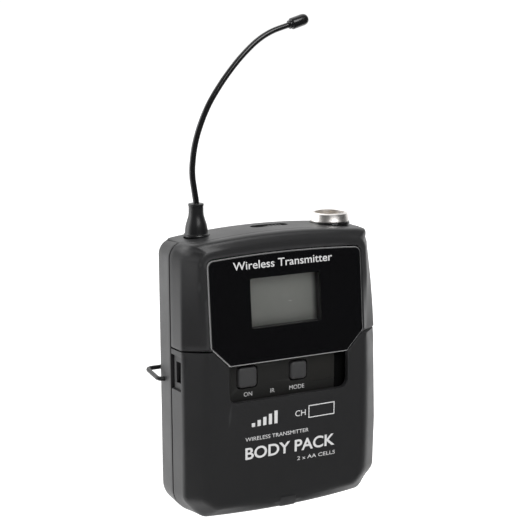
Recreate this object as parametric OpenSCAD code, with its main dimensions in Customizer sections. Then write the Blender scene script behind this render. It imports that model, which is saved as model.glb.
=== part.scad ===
// Belt-worn wireless transmitter pack: housing, drop-down battery door, display, keys, antenna, clip.
// Frame: +X to the wearer's right of the display, -Y out of the display, +Z up, origin under the
// middle of the housing, on the surface that it stands on.

/* [Housing] */
// Width of the housing at its seam
body_w = 67.2; // [62:0.1:84]
// Height of the housing at the middle of its arched top
body_h = 85.4; // [78:0.1:104]
// Depth of the housing at the middle of its front
body_d = 22; // [20:0.1:27]
// Wall thickness of the shells and the door
wall = 1.6; // [1.2:0.1:2]
// Depth of the rear shell, from its back to the seam
rear_d = 9.7; // [8.5:0.1:11]
// Height at which the upper front shell ends and the battery door begins
split_z = 52.1; // [50.5:0.1:54]
// Radius of the bottom corners
low_corner_r = 8; // [5:0.5:9]
// Radius of the top corners
top_corner_r = 5; // [3:0.5:6]
// Gap between neighbouring shells
seam_gap = 0.15; // [0.1:0.05:0.3]

/* [Display and keys] */
// Height of the glossy lens
lens_h = 32.6; // [30:0.1:36]
// Half width of the lens above its cut corners
lens_half_w = 26; // [24:0.1:27]
// Half width of the recess for the keys
recess_half_w = 20.3; // [18:0.1:22]
// Height of the lowest edge of the key recess
recess_low_z = 35.6; // [35:0.1:38]
// Width of the display's viewing window
lcd_w = 23.8; // [18:0.1:26]
// Height of the display's viewing window
lcd_h = 14.8; // [11:0.1:16]
// Width of the power key
on_key_w = 6.3; // [5:0.1:7]
// Width of the mode key
mode_key_w = 5.6; // [4.5:0.1:6.5]
// How far a key goes in
key_travel = 0.5; // [0.3:0.1:0.6]

/* [Top fittings] */
// Distance of the antenna from the middle
antenna_x = 23.4; // [21:0.1:24]
// Distance of the microphone socket from the middle
socket_x = 22.3; // [20:0.1:23]
// Diameter of the microphone socket's opening
socket_d = 9.2; // [8.6:0.1:9.6]
// Diameter of the socket's ring nut
nut_d = 12; // [11.6:0.1:12.4]
// How far the mute slider travels
mute_travel = 3; // [2:0.5:4]
// Diameter of the antenna's jacket at its foot
whip_d = 1.9; // [1.6:0.1:2.4]

/* [Batteries and clip] */
// Diameter of a size AA cell
cell_d = 14.5; // [13.8:0.1:14.6]
// Length of a size AA cell
cell_l = 50.5; // [49:0.1:50.6]
// Diameter of the clip's wire
wire_d = 1.4; // [1.2:0.1:1.8]
// Height of the clip's pivot
clip_z = 41; // [38:0.5:44]
// Space between the clip and the back of the housing
belt_gap = 4.5; // [3:0.5:6]

/* [Hidden] */

smooth = 48;
eps = 0.02;
half_w = body_w / 2;
front_y = -body_d / 2;
rear_y = body_d / 2;
seam_y = rear_y - rear_d;
front_wall = wall + 1.2;

// side view of the front: a long shallow bow, with its foremost point at bow_z
bow_z = 0.49 * body_h;
bow_top_r = 254;
bow_low_r = 600;
front_edge_r = 3;
rear_edge_r = 1.6;
crown = 1.8;

// plan view, in from the seam: outer edge of the shoulder and crease of the front face
shoulder_in_low = 0.4;
shoulder_in_top = 1.7;
shoulder_back = 5.6;
crease_in_top = 5.4;
crease_in_low = 7;
crease_back_top = 1.9;
crease_back_low = 1.1;
rear_in = 0.4;
// share of the crease that is left at the very bottom
crease_fade = 0.6;

// display stack, measured in from the lens's outer face, which leans back
lean = 4.5;
lens_t = 1.2;
lens_fit = 0.15;
lens_low_z = 47.1;
lens_low_half_w = recess_half_w - 0.3;
lens_cut_h = split_z + 0.9 - lens_low_z;
lens_corner_r = 2.2;
lens_arch = 0.8;
glass_t = 1.6;
glass_margin = 2.2;
glass_y = front_wall + 0.3;
lcd_x = -0.4;
lcd_low = 10.6;
frame_margin = 2;
frame_back = 1;

board_y = -1.5;
board_t = 1.2;
board_half_w = 24;
board_low_z = 37;
board_top_z = body_h - 7.4;
board_screw_x = board_half_w - 2.6;
board_screw_z = split_z + 14.4;
board_screw_r = 0.9;

panel_y = front_y + 2.8;
panel_t = 1.4;
panel_low_z = recess_low_z - 1.5;
recess_r = 2.5;
panel_half_w = recess_half_w + 2.4;
key_mid_z = 42.5;
on_key_x = -13.2;
mode_key_x = 4.2;
key_fit = 0.2;
key_proud = 0.9;
key_flange = 0.9;
key_flange_t = 1;
ir_x = 12.4;
ir_w = 9.2;
ir_h = 8.6;
ir_ledge = 0.8;

socket_wall = 0.7;
fitting_y = rear_y - wall - 0.1 - socket_d / 2 - socket_wall;
plate_front_y = -4.8;
plate_half_w = half_w - 3.1;
plate_t = 1.8;
plate_fit = 0.12;
// lowest point of the plate's curved sheet, at its ends
plate_floor = body_h - 4.2;

case_screw_x = half_w - 5.2;
case_screw_zs = [split_z + 5.4, split_z + 15.4];
case_screw_r = 1;
case_head_r = 2;
case_head_h = 1.3;
boss_r = 2.5;

hinge_y = seam_y - 1.5;
hinge_z = 1.5;
hinge_r = 0.7;
hinge_fit = 0.06;
knuckle_r = 1.35;
hinge_x = 16;
hinge_l = 14;
lug_l = 5;
hinge_gap = 0.3;
hinge_relief_r = 2.15;

latch_z = 44.9;
latch_y = seam_y - 3.1;
latch_h = 6.4;
latch_w = 3;
pocket_h = 10;
pocket_w = 5;
pocket_in = 0.9;
latch_t = 2.2;
latch_fit = 0.15;
latch_back = 0.35;
latch_travel = 1;
latch_coil_l = 1.7;
latch_coil_r = 1.3;
latch_rim = 0.8;

tray_low_z = 3.5;
tray_t = 0.9;
tray_fit = 0.15;
tray_end = 2.9;
cell_gap = 0.3;
cell_play = 0.25;
cell_y = rear_y - wall - tray_fit - tray_t - cell_play - cell_d / 2;
cell_low_z = tray_low_z + tray_t + cell_play + cell_d / 2;
cell_high_z = cell_low_z + cell_d + cell_gap;
tray_top_z = cell_high_z + cell_d / 2 + cell_play + tray_t;
tray_half_w = cell_l / 2 + tray_end;
tray_front_y = -2.4;
tray_back_y = cell_y + cell_d / 2 + cell_play + tray_t;
cell_shift = 0.6;
nipple_r = 2.7;
spring_wire_r = 0.2;
contact_t = 0.4;

clip_y = rear_y - 3.8;
clip_fit = 0.06;
clip_out = 1.4;
clip_pin_in = 2.6;

// ---------- form of the housing ----------

function arc_in(r, d) = r - sqrt(max(0, r * r - (r - d) * (r - d)));
function bow(z) = pow(z - bow_z, 2) / (2 * (z > bow_z ? bow_top_r : bow_low_r));
function side_in(z) = z < low_corner_r ? arc_in(low_corner_r, z)
    : z > body_h - crown - top_corner_r ? arc_in(top_corner_r, max(0, body_h - crown - z)) : 0;
function edge_in(z, r) = z < r ? arc_in(r, z) : z > body_h - crown - r
    ? arc_in(r, max(0, body_h - crown - z)) : 0;
function up(z) = min(1, max(0, (z - split_z) / (body_h - crown - split_z)));
// half width left where the arched top is cut at height z
function arch_w(z) = z <= body_h - crown ? half_w : (half_w - top_corner_r)
    * sqrt(max(0.0004, (body_h - z) / crown));

function half_plan(z, skin, front_skin) = let(
    seam_x = min(half_w - side_in(z), arch_w(z)) - skin,
    y0 = front_y + bow(z) + edge_in(z, front_edge_r) + front_skin,
    y1 = rear_y - edge_in(z, rear_edge_r) - skin,
    shoulder = shoulder_in_low + (shoulder_in_top - shoulder_in_low) * up(z),
    fade = crease_fade + (1 - crease_fade) * min(1, z / (1.5 * low_corner_r)),
    crease = fade * (crease_in_low + (crease_in_top - crease_in_low) * up(z)),
    back = crease_back_low + (crease_back_top - crease_back_low) * up(z))
    [[seam_x - crease - 3 * fade, y0], [seam_x - crease, y0 + back],
     [seam_x - shoulder, min(y0 + shoulder_back, seam_y - 1)],
     [seam_x, seam_y], [seam_x - rear_in, y1 - rear_edge_r], [seam_x - rear_in - rear_edge_r, y1]];
function full_plan(z, skin, front_skin) = let(h = half_plan(z, skin, front_skin), n = len(h))
    concat(h, [for (i = [n - 1 : -1 : 0]) [-h[i][0], h[i][1]]]);

low_zs = [for (a = [0 : 15 : 90]) low_corner_r * (1 - cos(a))];
mid_zs = [for (k = [1 : 5]) low_corner_r + k * (body_h - crown - top_corner_r - low_corner_r) / 6];
high_zs = [for (a = [0 : 18 : 90]) body_h - crown - top_corner_r * (1 - sin(a))];
arch_zs = [for (k = [1 : 4]) body_h - crown * (1 - k / 4) * (1 - k / 4)];
form_zs = concat(low_zs, mid_zs, high_zs, arch_zs);

module housing_form(skin = 0, front_skin = 0) {
    squeeze = (body_h - 2 * skin) / body_h;
    hull() for (z = form_zs)
        translate([0, 0, skin + z * squeeze - (z > body_h / 2 ? eps : 0)])
            linear_extrude(eps) polygon(full_plan(z, skin, front_skin));
}

module box(low, high) {
    translate(low) cube(high - low);
}

module along_x(x0, x1, r) {
    translate([x0, 0, 0]) rotate([0, 90, 0]) cylinder(h = x1 - x0, r = r, $fn = smooth);
}

module along_y(y0, y1, r) {
    translate([0, y0, 0]) rotate([-90, 0, 0]) cylinder(h = y1 - y0, r = r, $fn = smooth);
}

// everything in the display stack leans back with the lens
module leaning() {
    translate([0, front_y, lens_low_z]) rotate([-lean, 0, 0]) children();
}

module slab(outline, y0, y1) {
    translate([0, y1, 0]) rotate([90, 0, 0]) linear_extrude(y1 - y0) polygon(outline);
}

module both_sides() {
    children();
    mirror([1, 0, 0]) children();
}

// tube swept along points, one ring of sides points at each
function unit(v) = v / norm(v);
function heading(p, i) = unit(p[min(i + 1, len(p) - 1)] - p[max(i - 1, 0)]);
function turn_x(h, ref) = unit(cross(ref, h));
module swept_tube(path, radii, sides, ref) {
    n = len(path);
    rings = [for (i = [0 : n - 1]) let(h = heading(path, i), u = turn_x(h, ref), v = cross(h, u))
        for (k = [0 : sides - 1]) path[i]
            + radii[i] * (cos(360 * k / sides) * u + sin(360 * k / sides) * v)];
    walls = [for (i = [0 : n - 2], k = [0 : sides - 1], half = [0, 1])
        let(j = (k + 1) % sides, a = i * sides, b = a + sides)
        half == 0 ? [a + k, b + k, b + j] : [a + k, b + j, a + j]];
    ends = [[for (k = [0 : sides - 1]) k],
        [for (k = [sides - 1 : -1 : 0]) (n - 1) * sides + k]];
    polyhedron(rings, concat(walls, ends));
}

// smooth curve through hand-set points, steps points to each stretch
function spline_at(a, b, c, d, t) = 0.5 * (2 * b + (c - a) * t + (2 * a - 5 * b + 4 * c - d) * t * t
    + (3 * b - a - 3 * c + d) * t * t * t);
function spline(p, steps) = concat([for (i = [0 : len(p) - 2]) for (s = [0 : steps - 1])
    spline_at(p[max(i - 1, 0)], p[i], p[i + 1], p[min(i + 2, len(p) - 1)], s / steps)],
    [p[len(p) - 1]]);

// ---------- housing ----------

function lens_outline(grow) = let(
    w = lens_half_w + grow,
    lw = lens_low_half_w + grow,
    r = lens_corner_r,
    top = lens_h + grow)
    concat([[-lw, -grow], [lw, -grow], [w, lens_cut_h]],
        [for (a = [0 : 18 : 90]) [w - r + r * cos(a), top - lens_arch - r + r * sin(a)]],
        [[w / 2, top - lens_arch / 4], [0, top], [-w / 2, top - lens_arch / 4]],
        [for (a = [90 : 18 : 180]) [-w + r + r * cos(a), top - lens_arch - r + r * sin(a)]],
        [[-w, lens_cut_h]]);

module plate_space(grow) {
    intersection() {
        box([-plate_half_w - grow, plate_front_y - grow, plate_floor - grow],
            [plate_half_w + grow, rear_y - 1.5 + grow, body_h + 1]);
        housing_form(0, 0);
    }
}

// height of the arched top at a distance from the middle
function top_at(x) = body_h - crown * pow(x / (half_w - top_corner_r), 2);

module plate_cut() {
    box([-plate_half_w - plate_fit, plate_front_y - plate_fit, plate_floor - plate_fit],
        [plate_half_w + plate_fit, rear_y - 1.5 + plate_fit, body_h + 1]);
}

module rear_shell() {
    color([0.16, 0.16, 0.17]) {
        difference() {
            union() {
                difference() {
                    housing_form();
                    housing_form(wall, wall);
                    box([-half_w - 1, front_y - 1, -1], [half_w + 1, seam_y, body_h + 1]);
                }
                for (x = [-case_screw_x, case_screw_x], z = case_screw_zs)
                    translate([x, 0, z]) along_y(seam_y - 1, rear_y - wall / 2, boss_r);
                for (x = [-board_screw_x, board_screw_x])
                    translate([x, 0, board_screw_z])
                        along_y(board_y + board_t, rear_y - wall / 2, boss_r);
            }
            plate_cut();
            at_socket() translate([0, 0, collar_low_z - 3])
                cylinder(h = 11, r = collar_r + plate_fit, $fn = smooth);
            for (x = [-case_screw_x, case_screw_x], z = case_screw_zs) translate([x, 0, z]) {
                along_y(seam_y - 2, rear_y + 1, case_screw_r + 0.15);
                along_y(rear_y - case_head_h - 0.4, rear_y + 1, case_head_r + 0.2);
            }
            for (x = [-board_screw_x, board_screw_x])
                translate([x, 0, board_screw_z]) along_y(board_y, rear_y - wall - 1, board_screw_r);
            translate([0, clip_y, clip_z]) {
                along_x(-half_w - 1, -half_w + wall + 2, wire_d / 2 + clip_fit);
                along_x(half_w - wall - 2, half_w + 1, wire_d / 2 + clip_fit);
            }
            translate([0, hinge_y, hinge_z]) along_x(-half_w, half_w, hinge_relief_r);
        }
        for (side = [-1, 1]) translate([side * hinge_x, 0, 0]) lug();
    }
}

// lug that holds one of the door's hinge pins
module lug() {
    difference() {
        union() {
            translate([0, hinge_y, hinge_z]) along_x(-lug_l / 2, lug_l / 2, knuckle_r);
            box([-lug_l / 2, hinge_y, hinge_z - 0.3],
                [lug_l / 2, hinge_y + hinge_relief_r + 0.6, hinge_z + 0.9]);
        }
        translate([0, hinge_y, hinge_z]) along_x(-lug_l, lug_l, hinge_r);
    }
}

module front_shell() {
    color([0.15, 0.15, 0.16]) difference() {
        union() {
            difference() {
                housing_form();
                housing_form(wall, front_wall);
            }
            for (x = [-case_screw_x, case_screw_x], z = case_screw_zs)
                intersection() {
                    translate([x, 0, z]) along_y(front_y, seam_y - 1.2, boss_r);
                    housing_form(0.4, 0.4);
                }
        }
        box([-half_w - 1, seam_y - seam_gap, -1], [half_w + 1, rear_y + 1, body_h + 1]);
        box([-half_w - 1, front_y - 1, -1], [half_w + 1, rear_y + 1, split_z]);
        plate_cut();
        leaning() {
            slab(lens_outline(lens_fit), -4, lens_t + lens_fit);
            box([lcd_x - lcd_w / 2 - 0.6, -1, lcd_low - 0.6],
                [lcd_x + lcd_w / 2 + 0.6, front_wall + 2, lcd_low + lcd_h + 0.6]);
        }
        for (x = [-case_screw_x, case_screw_x], z = case_screw_zs)
            translate([x, 0, z]) along_y(front_y + front_wall + 3, seam_y, case_screw_r);
    }
}

module top_plate() {
    color([0.17, 0.17, 0.18]) difference() {
        plate_space(0);
        translate([0, 0, -plate_t]) housing_form();
        translate([-antenna_x, fitting_y, body_h - 8])
            cylinder(h = 9, r = boot_r + plate_fit, $fn = smooth);
        at_socket() translate([0, 0, body_h - 8])
            cylinder(h = 9, r = collar_r + plate_fit, $fn = smooth);
        box([mute_x - mute_slot_l / 2, fitting_y - mute_slot_w / 2, body_h - 8],
            [mute_x + mute_slot_l / 2, fitting_y + mute_slot_w / 2, body_h + 1]);
    }
}

function door_notch() = let(w = recess_half_w, r = recess_r, cut = lens_half_w,
    right = concat([for (a = [270 : 18 : 360]) [w - r + r * cos(a), recess_low_z + r + r * sin(a)]],
        [[w, lens_low_z - 0.6], [cut - 0.1, split_z - 0.5], [cut + 0.9, split_z + 2]]))
    concat(right, [for (i = [len(right) - 1 : -1 : 0]) [-right[i][0], right[i][1]]]);

// block round the finger pocket over a latch, larger than it by grow
module pocket_box(x0, grow, x1, y1) {
    box([x0, latch_y - pocket_w / 2 - grow, latch_z - pocket_h / 2 - grow],
        [x1, y1, latch_z + pocket_h / 2 + grow]);
}

module battery_door() {
    color([0.15, 0.15, 0.16]) {
        difference() {
            housing_form();
            difference() {
                housing_form(wall, wall);
                // thicker pads behind the latch pockets
                both_sides() pocket_box(half_w - wall - pocket_in, 1, half_w, seam_y);
            }
            box([-half_w - 1, seam_y - seam_gap, -1], [half_w + 1, rear_y + 1, body_h + 1]);
            box([-half_w - 1, front_y - 1, split_z - seam_gap], [half_w + 1, rear_y + 1, body_h + 1]);
            slab(door_notch(), front_y - 2, front_y + 6);
            both_sides() {
                pocket_box(half_w - pocket_in - shoulder_in_low, 0, half_w + 1, seam_y + 1);
                box([half_w - wall - pocket_in - 1, latch_y - latch_w / 2, latch_z - latch_h / 2],
                    [half_w + 1, latch_y + latch_w / 2, latch_z + latch_h / 2]);
                box([hinge_x - lug_l / 2 - hinge_gap, hinge_y - hinge_relief_r, -1],
                    [hinge_x + lug_l / 2 + hinge_gap, seam_y + 1, hinge_z + hinge_relief_r + hinge_gap]);
                translate([0, hinge_y, hinge_z])
                    along_x(hinge_x - hinge_l / 2 - hinge_gap, hinge_x + hinge_l / 2 + hinge_gap,
                        knuckle_r - 0.2);
            }
        }
        both_sides() for (side = [-1, 1]) difference() {
            x0 = side < 0 ? hinge_x - hinge_l / 2 : hinge_x + lug_l / 2 + hinge_gap;
            x1 = side < 0 ? hinge_x - lug_l / 2 - hinge_gap : hinge_x + hinge_l / 2;
            translate([0, hinge_y, hinge_z]) along_x(x0, x1, knuckle_r);
            translate([0, hinge_y, hinge_z]) along_x(x0 - 1, x1 + 1, hinge_r + hinge_fit);
        }
    }
}

module hinge_pins() {
    color([0.75, 0.75, 0.77]) both_sides() translate([0, hinge_y, hinge_z])
        along_x(hinge_x - hinge_l / 2 + 0.2, hinge_x + hinge_l / 2 - 0.2, hinge_r);
}

latch_x = half_w - wall - pocket_in - latch_back - shoulder_in_low;
module latch() {
    button = [latch_w / 2 - latch_fit, latch_h / 2 - latch_fit];
    rim = [latch_w / 2 + latch_rim, latch_h / 2 + latch_rim];
    color([0.09, 0.09, 0.1]) {
        box([latch_x - latch_t, latch_y - button[0], latch_z - button[1]],
            [latch_x, latch_y + button[0], latch_z + button[1]]);
        box([latch_x - latch_t - latch_rim, latch_y - rim[0], latch_z - rim[1]],
            [latch_x - latch_t + latch_rim / 2, latch_y + rim[0], latch_z + rim[1]]);
    }
}

module latch_right() latch();
module latch_left() mirror([1, 0, 0]) latch();

module coil_spring(r, length, turns) {
    steps = 12;
    path = [for (i = [0 : turns * steps]) [length * i / (turns * steps),
        r * cos(360 * i / steps), r * sin(360 * i / steps)]];
    swept_tube(path, [for (p = path) spring_wire_r], 6, [1, 0, 0]);
}

// coils behind the latches, drawn at the length that they have with the latches pressed in
module latch_springs() {
    seat_x = latch_x - latch_t - latch_rim - latch_travel - spring_wire_r - 0.1;
    color([0.7, 0.7, 0.72]) both_sides()
        translate([seat_x - latch_coil_l, latch_y, latch_z]) coil_spring(latch_coil_r, latch_coil_l, 3);
}

module case_screws() {
    color([0.35, 0.35, 0.37]) for (x = [-case_screw_x, case_screw_x], z = case_screw_zs)
        translate([x, 0, z]) difference() {
            union() {
                along_y(seam_y - 4, rear_y - case_head_h - 0.2, case_screw_r - 0.02);
                along_y(rear_y - case_head_h - 0.4, rear_y - 0.4, case_head_r);
            }
            for (turn = [0, 90]) rotate([0, turn, 0])
                box([-1.1, rear_y - 1.1, -0.25], [1.1, rear_y, 0.25]);
        }
}

// ---------- display ----------

module display_lens() {
    color([0.03, 0.03, 0.035]) leaning() slab(lens_outline(0), 0, lens_t);
}

// block behind the viewing window, larger than it by a margin all round
module display_box(margin, y0, y1) {
    box([lcd_x - lcd_w / 2 - margin, y0, lcd_low - margin],
        [lcd_x + lcd_w / 2 + margin, y1, lcd_low + lcd_h + margin]);
}

module display_glass() {
    color([0.43, 0.44, 0.41]) leaning()
        display_box(glass_margin, glass_y, glass_y + glass_t);
}

module display_frame() {
    color([0.85, 0.85, 0.83]) leaning() difference() {
        display_box(glass_margin + frame_margin, glass_y, glass_y + glass_t + frame_back);
        display_box(glass_margin + 0.1, 0, glass_y + glass_t + eps);
    }
}

// ---------- keys ----------

// block for an opening in the panel, centred at x in the row of keys
module key_row_box(x, half_x, half_z, back) {
    box([x - half_x, panel_y - 1, key_mid_z - half_z], [x + half_x, back, key_mid_z + half_z]);
}

module key_panel() {
    color([0.1, 0.1, 0.11]) difference() {
        box([-panel_half_w, panel_y, panel_low_z], [panel_half_w, panel_y + panel_t, lens_low_z - 0.3]);
        key_row_box(on_key_x, on_key_w / 2 + key_fit, on_key_w / 2 + key_fit, panel_y + 3);
        key_row_box(mode_key_x, mode_key_w / 2 + key_fit, mode_key_w / 2 + key_fit, panel_y + 3);
        key_row_box(ir_x, ir_w / 2 + 0.1, ir_h / 2 + 0.1, panel_y + 0.9);
        key_row_box(ir_x, ir_w / 2 - ir_ledge, ir_h / 2 - ir_ledge, panel_y + 3);
    }
}

module key(x, width) {
    stop_y = panel_y + panel_t + 0.05;
    color([0.22, 0.22, 0.23]) {
        box([x - width / 2, panel_y - key_proud, key_mid_z - width / 2],
            [x + width / 2, stop_y + 0.2, key_mid_z + width / 2]);
        box([x - width / 2 - key_flange, stop_y, key_mid_z - width / 2 - key_flange],
            [x + width / 2 + key_flange, stop_y + key_flange_t, key_mid_z + width / 2 + key_flange]);
    }
}

module on_key() key(on_key_x, on_key_w);
module mode_key() key(mode_key_x, mode_key_w);

module key_switches() {
    back_y = panel_y + panel_t + key_flange_t + key_travel + 0.15;
    for (x = [on_key_x, mode_key_x]) {
        color([0.7, 0.7, 0.72]) box([x - 2.6, back_y + 0.7, key_mid_z - 2.6],
            [x + 2.6, board_y, key_mid_z + 2.6]);
        color([0.1, 0.1, 0.1]) translate([x, 0, key_mid_z]) along_y(back_y, back_y + 1, 1.2);
    }
}

module ir_window() {
    color([0.05, 0.03, 0.04]) box([ir_x - ir_w / 2, panel_y + 0.1, key_mid_z - ir_h / 2],
        [ir_x + ir_w / 2, panel_y + 0.85, key_mid_z + ir_h / 2]);
}

module ir_sensor() {
    color([0.08, 0.06, 0.07]) {
        box([ir_x - 2.6, board_y - 2.6, key_mid_z - 2.4], [ir_x + 2.6, board_y, key_mid_z + 2.4]);
        translate([ir_x, board_y - 2.6, key_mid_z]) sphere(r = 1.5, $fn = smooth);
    }
}

// ---------- electronics ----------

module main_board() {
    color([0.08, 0.3, 0.16]) difference() {
        box([-board_half_w, board_y, board_low_z], [board_half_w, board_y + board_t, board_top_z]);
        // cut away round the socket
        box([socket_x - socket_d / 2 - 1.5, board_y - 1, socket_bottom - 2],
            [board_half_w + 1, board_y + board_t + 1, board_top_z + 1]);
        for (x = [-board_screw_x, board_screw_x])
            translate([x, 0, board_screw_z])
                along_y(board_y - 1, board_y + board_t + 1, board_screw_r + 0.15);
    }
}

module rf_shield() {
    back = board_y + board_t;
    color([0.75, 0.76, 0.78]) difference() {
        box([-18, back, split_z + 3], [-3, back + 3, split_z + 21]);
        box([-17.7, back - 1, split_z + 3.3], [-3.3, back + 2.7, split_z + 20.7]);
    }
}

module board_chips() {
    back = board_y + board_t;
    color([0.07, 0.07, 0.08]) {
        box([3, back, split_z + 4], [12, back + 1.2, split_z + 13]);
        box([5, back, board_low_z + 4], [12, back + 1.6, board_low_z + 9]);
        box([-12, back, board_low_z + 4], [-6, back + 1.6, board_low_z + 9]);
        box([15, back, split_z + 5], [20, back + 2, split_z + 8]);
    }
}

module board_screws() {
    color([0.7, 0.7, 0.72]) both_sides() translate([board_screw_x, 0, board_screw_z]) {
        along_y(board_y - 0.2, board_y + board_t + 4, board_screw_r - eps);
        along_y(board_y - 1, board_y, 1.7);
    }
}

// ---------- top fittings ----------

mute_x = 1;
mute_slot_l = 12.6;
mute_slot_w = 3.6;
mute_knob_l = 5;
mute_fit = 0.25;
mute_rib_pitch = 1.5;
mute_rib_w = 0.6;
mute_rest_x = mute_x + mute_travel / 2;
mute_top = body_h - plate_t - 1.1;

// block across the slot, wider than it by grow on each side
module slider_box(x, half_x, grow, z0, z1) {
    half_y = mute_slot_w / 2 + grow;
    box([x - half_x, fitting_y - half_y, z0], [x + half_x, fitting_y + half_y, z1]);
}

module mute_slider() {
    color([0.13, 0.13, 0.14]) {
        slider_box(mute_rest_x, mute_knob_l / 2, -mute_fit, mute_top, body_h - 0.5);
        for (k = [-1 : 1])
            slider_box(mute_rest_x + k * mute_rib_pitch, mute_rib_w / 2, -mute_fit, body_h - 0.6, body_h - 0.1);
        slider_box(mute_rest_x, mute_knob_l / 2 + 1.4, 0.6, mute_top - 0.2, mute_top + 0.6);
    }
}

module mute_switch() {
    color([0.72, 0.73, 0.75]) box([mute_x - 7, fitting_y - 2.3, mute_top - 4.2],
        [mute_x + 7, fitting_y + 2.3, mute_top - 0.35]);
}

socket_bottom = body_h - 13.5;
socket_lip = body_h + 2.5;
nut_h = 2.7;
collar_r = nut_d / 2 + 0.3;
collar_low_z = body_h - 2.6;
collar_top_z = body_h - 0.3;
pin_circle_r = 2.1;
pin_r = 0.45;
socket_depth = 6.2;
insert_top = socket_lip - socket_depth;
// plain mouth of the bore, with the groove for the plug's catch below it
mouth_l = 2;
groove_h = 1;
groove_in = 0.25;
pin_top = socket_lip - mouth_l - 0.8;

module at_socket() {
    translate([socket_x, fitting_y, 0]) children();
}

module tube(z0, z1, outer_r, inner_r) {
    translate([0, 0, z0]) difference() {
        cylinder(h = z1 - z0, r = outer_r, $fn = smooth);
        translate([0, 0, -1]) cylinder(h = z1 - z0 + 2, r = inner_r, $fn = smooth);
    }
}

module socket_shell() {
    color([0.78, 0.76, 0.74]) at_socket() difference() {
        tube(socket_bottom, socket_lip, socket_d / 2 + socket_wall, socket_d / 2);
        translate([0, 0, socket_lip - mouth_l - groove_h])
            cylinder(h = groove_h, r = socket_d / 2 + groove_in, $fn = smooth);
    }
}

module socket_insert() {
    color([0.12, 0.07, 0.05]) at_socket() difference() {
        translate([0, 0, socket_bottom])
            cylinder(h = insert_top - socket_bottom, r = socket_d / 2, $fn = smooth);
        for (a = [45 : 90 : 315]) rotate(a) translate([pin_circle_r, 0, socket_bottom - 1])
            cylinder(h = 20, r = pin_r, $fn = 24);
    }
}

module socket_pins() {
    color([0.85, 0.75, 0.45]) at_socket() for (a = [45 : 90 : 315]) rotate(a)
        translate([pin_circle_r, 0, 0]) {
            translate([0, 0, socket_bottom - 1.6])
                cylinder(h = pin_top - socket_bottom + 1.6, r = pin_r, $fn = 24);
            translate([0, 0, pin_top]) sphere(r = pin_r, $fn = 24);
        }
}

module socket_collar() {
    color([0.07, 0.07, 0.08]) at_socket()
        tube(collar_low_z, collar_top_z, collar_r, socket_d / 2 + socket_wall + 0.05);
}

module ring_nut() {
    inner_r = socket_d / 2 + socket_wall + 0.01;
    color([0.85, 0.83, 0.82]) at_socket() translate([0, 0, collar_top_z]) rotate_extrude($fn = smooth)
        polygon([[inner_r, 0], [nut_d / 2, 0], [nut_d / 2, nut_h - 1.1], [nut_d / 2 - 0.8, nut_h],
            [inner_r, nut_h]]);
}

antenna_foot_z = body_h - 2.8;
boot_r = 4.35;
boot_h = 11.3;
boot_top = antenna_foot_z + boot_h;
boot_outline = [[0, 0], [boot_r, 0], [boot_r, 2.2], [3.5, 3.1], [3.45, 3.9], [3.2, 5.7], [2.75, 7.6],
    [2.3, 9.2], [2.2, 10], [2.3, 10.1], [2.3, boot_h], [0, boot_h]];

module antenna_boot() {
    color([0.13, 0.13, 0.14]) translate([-antenna_x, fitting_y, antenna_foot_z])
        rotate_extrude($fn = smooth) polygon(boot_outline);
}

// the whip stands straight out of its boot and leans over to the right
whip_route = [[0, 0.9], [-0.5, 4.2], [-1, 8], [-0.9, 12], [0, 17.5], [1.8, 23], [4.4, 28.5], [7.7, 33.5],
    [11.7, 38.5], [16, 43], [20.8, 47], [25.6, 49.6], [31.4, 51.4]];
whip_path = concat([[-antenna_x, fitting_y, boot_top]],
    spline([for (p = whip_route) [p[0] - antenna_x, fitting_y, p[1] + boot_top]], 4));
whip_end = whip_path[len(whip_path) - 1];
whip_aim = whip_end - whip_path[len(whip_path) - 2];
tip_l = 6.7;
tip_r = 1.75;

module antenna_whip() {
    n = len(whip_path);
    color([0.05, 0.05, 0.055])
        swept_tube(whip_path, [for (i = [0 : n - 1]) whip_d / 2 - 0.12 * i / n], 12, [0, 1, 0]);
}

module antenna_tip() {
    slope = atan2(whip_aim[2], whip_aim[0]);
    dome_z = tip_l - tip_r + 0.15;
    color([0.05, 0.05, 0.055]) translate(whip_end) rotate([0, 90 - slope, 0]) {
        cylinder(h = 0.8, r = 1.35, $fn = smooth);
        translate([0, 0, 0.7]) cylinder(h = dome_z - 0.7, r = tip_r, $fn = smooth);
        translate([0, 0, dome_z]) intersection() {
            sphere(r = tip_r, $fn = smooth);
            cylinder(h = tip_r + 1, r = tip_r + 1, $fn = smooth);
        }
    }
}

module antenna_mount() {
    low = board_top_z + 1;
    color([0.8, 0.65, 0.3]) translate([-antenna_x, fitting_y, low]) {
        cylinder(h = antenna_foot_z - low, r = 2.1, $fn = smooth);
        cylinder(h = 1.2, r = 3.4, $fn = smooth);
    }
}

// ---------- batteries ----------

module battery_tray() {
    slot_w = 10;
    color([0.11, 0.11, 0.12]) difference() {
        intersection() {
            box([-tray_half_w, tray_front_y, tray_low_z], [tray_half_w, tray_back_y, tray_top_z]);
            housing_form(wall + tray_fit - 0.05, wall + tray_fit - 0.05);
        }
        box([-tray_half_w + tray_t, tray_front_y - 1, tray_low_z + tray_t],
            [tray_half_w - tray_t, tray_back_y - tray_t, tray_top_z - tray_t]);
        for (z = [cell_low_z, cell_high_z])
            box([-slot_w, tray_back_y - 3, z - 3], [slot_w, tray_back_y + 1, z + 3]);
    }
}

module cell(z, flip) {
    nipple_l = 1.2;
    end_x = cell_l / 2 + cell_shift;
    mirror([flip ? 1 : 0, 0, 0]) translate([0, cell_y, z]) {
        color([0.8, 0.55, 0.2]) along_x(end_x - cell_l, end_x - nipple_l, cell_d / 2);
        color([0.8, 0.8, 0.82]) along_x(end_x - nipple_l - 0.1, end_x, nipple_r);
    }
}

module battery_upper() cell(cell_high_z, false);
module battery_lower() cell(cell_low_z, true);

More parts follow.
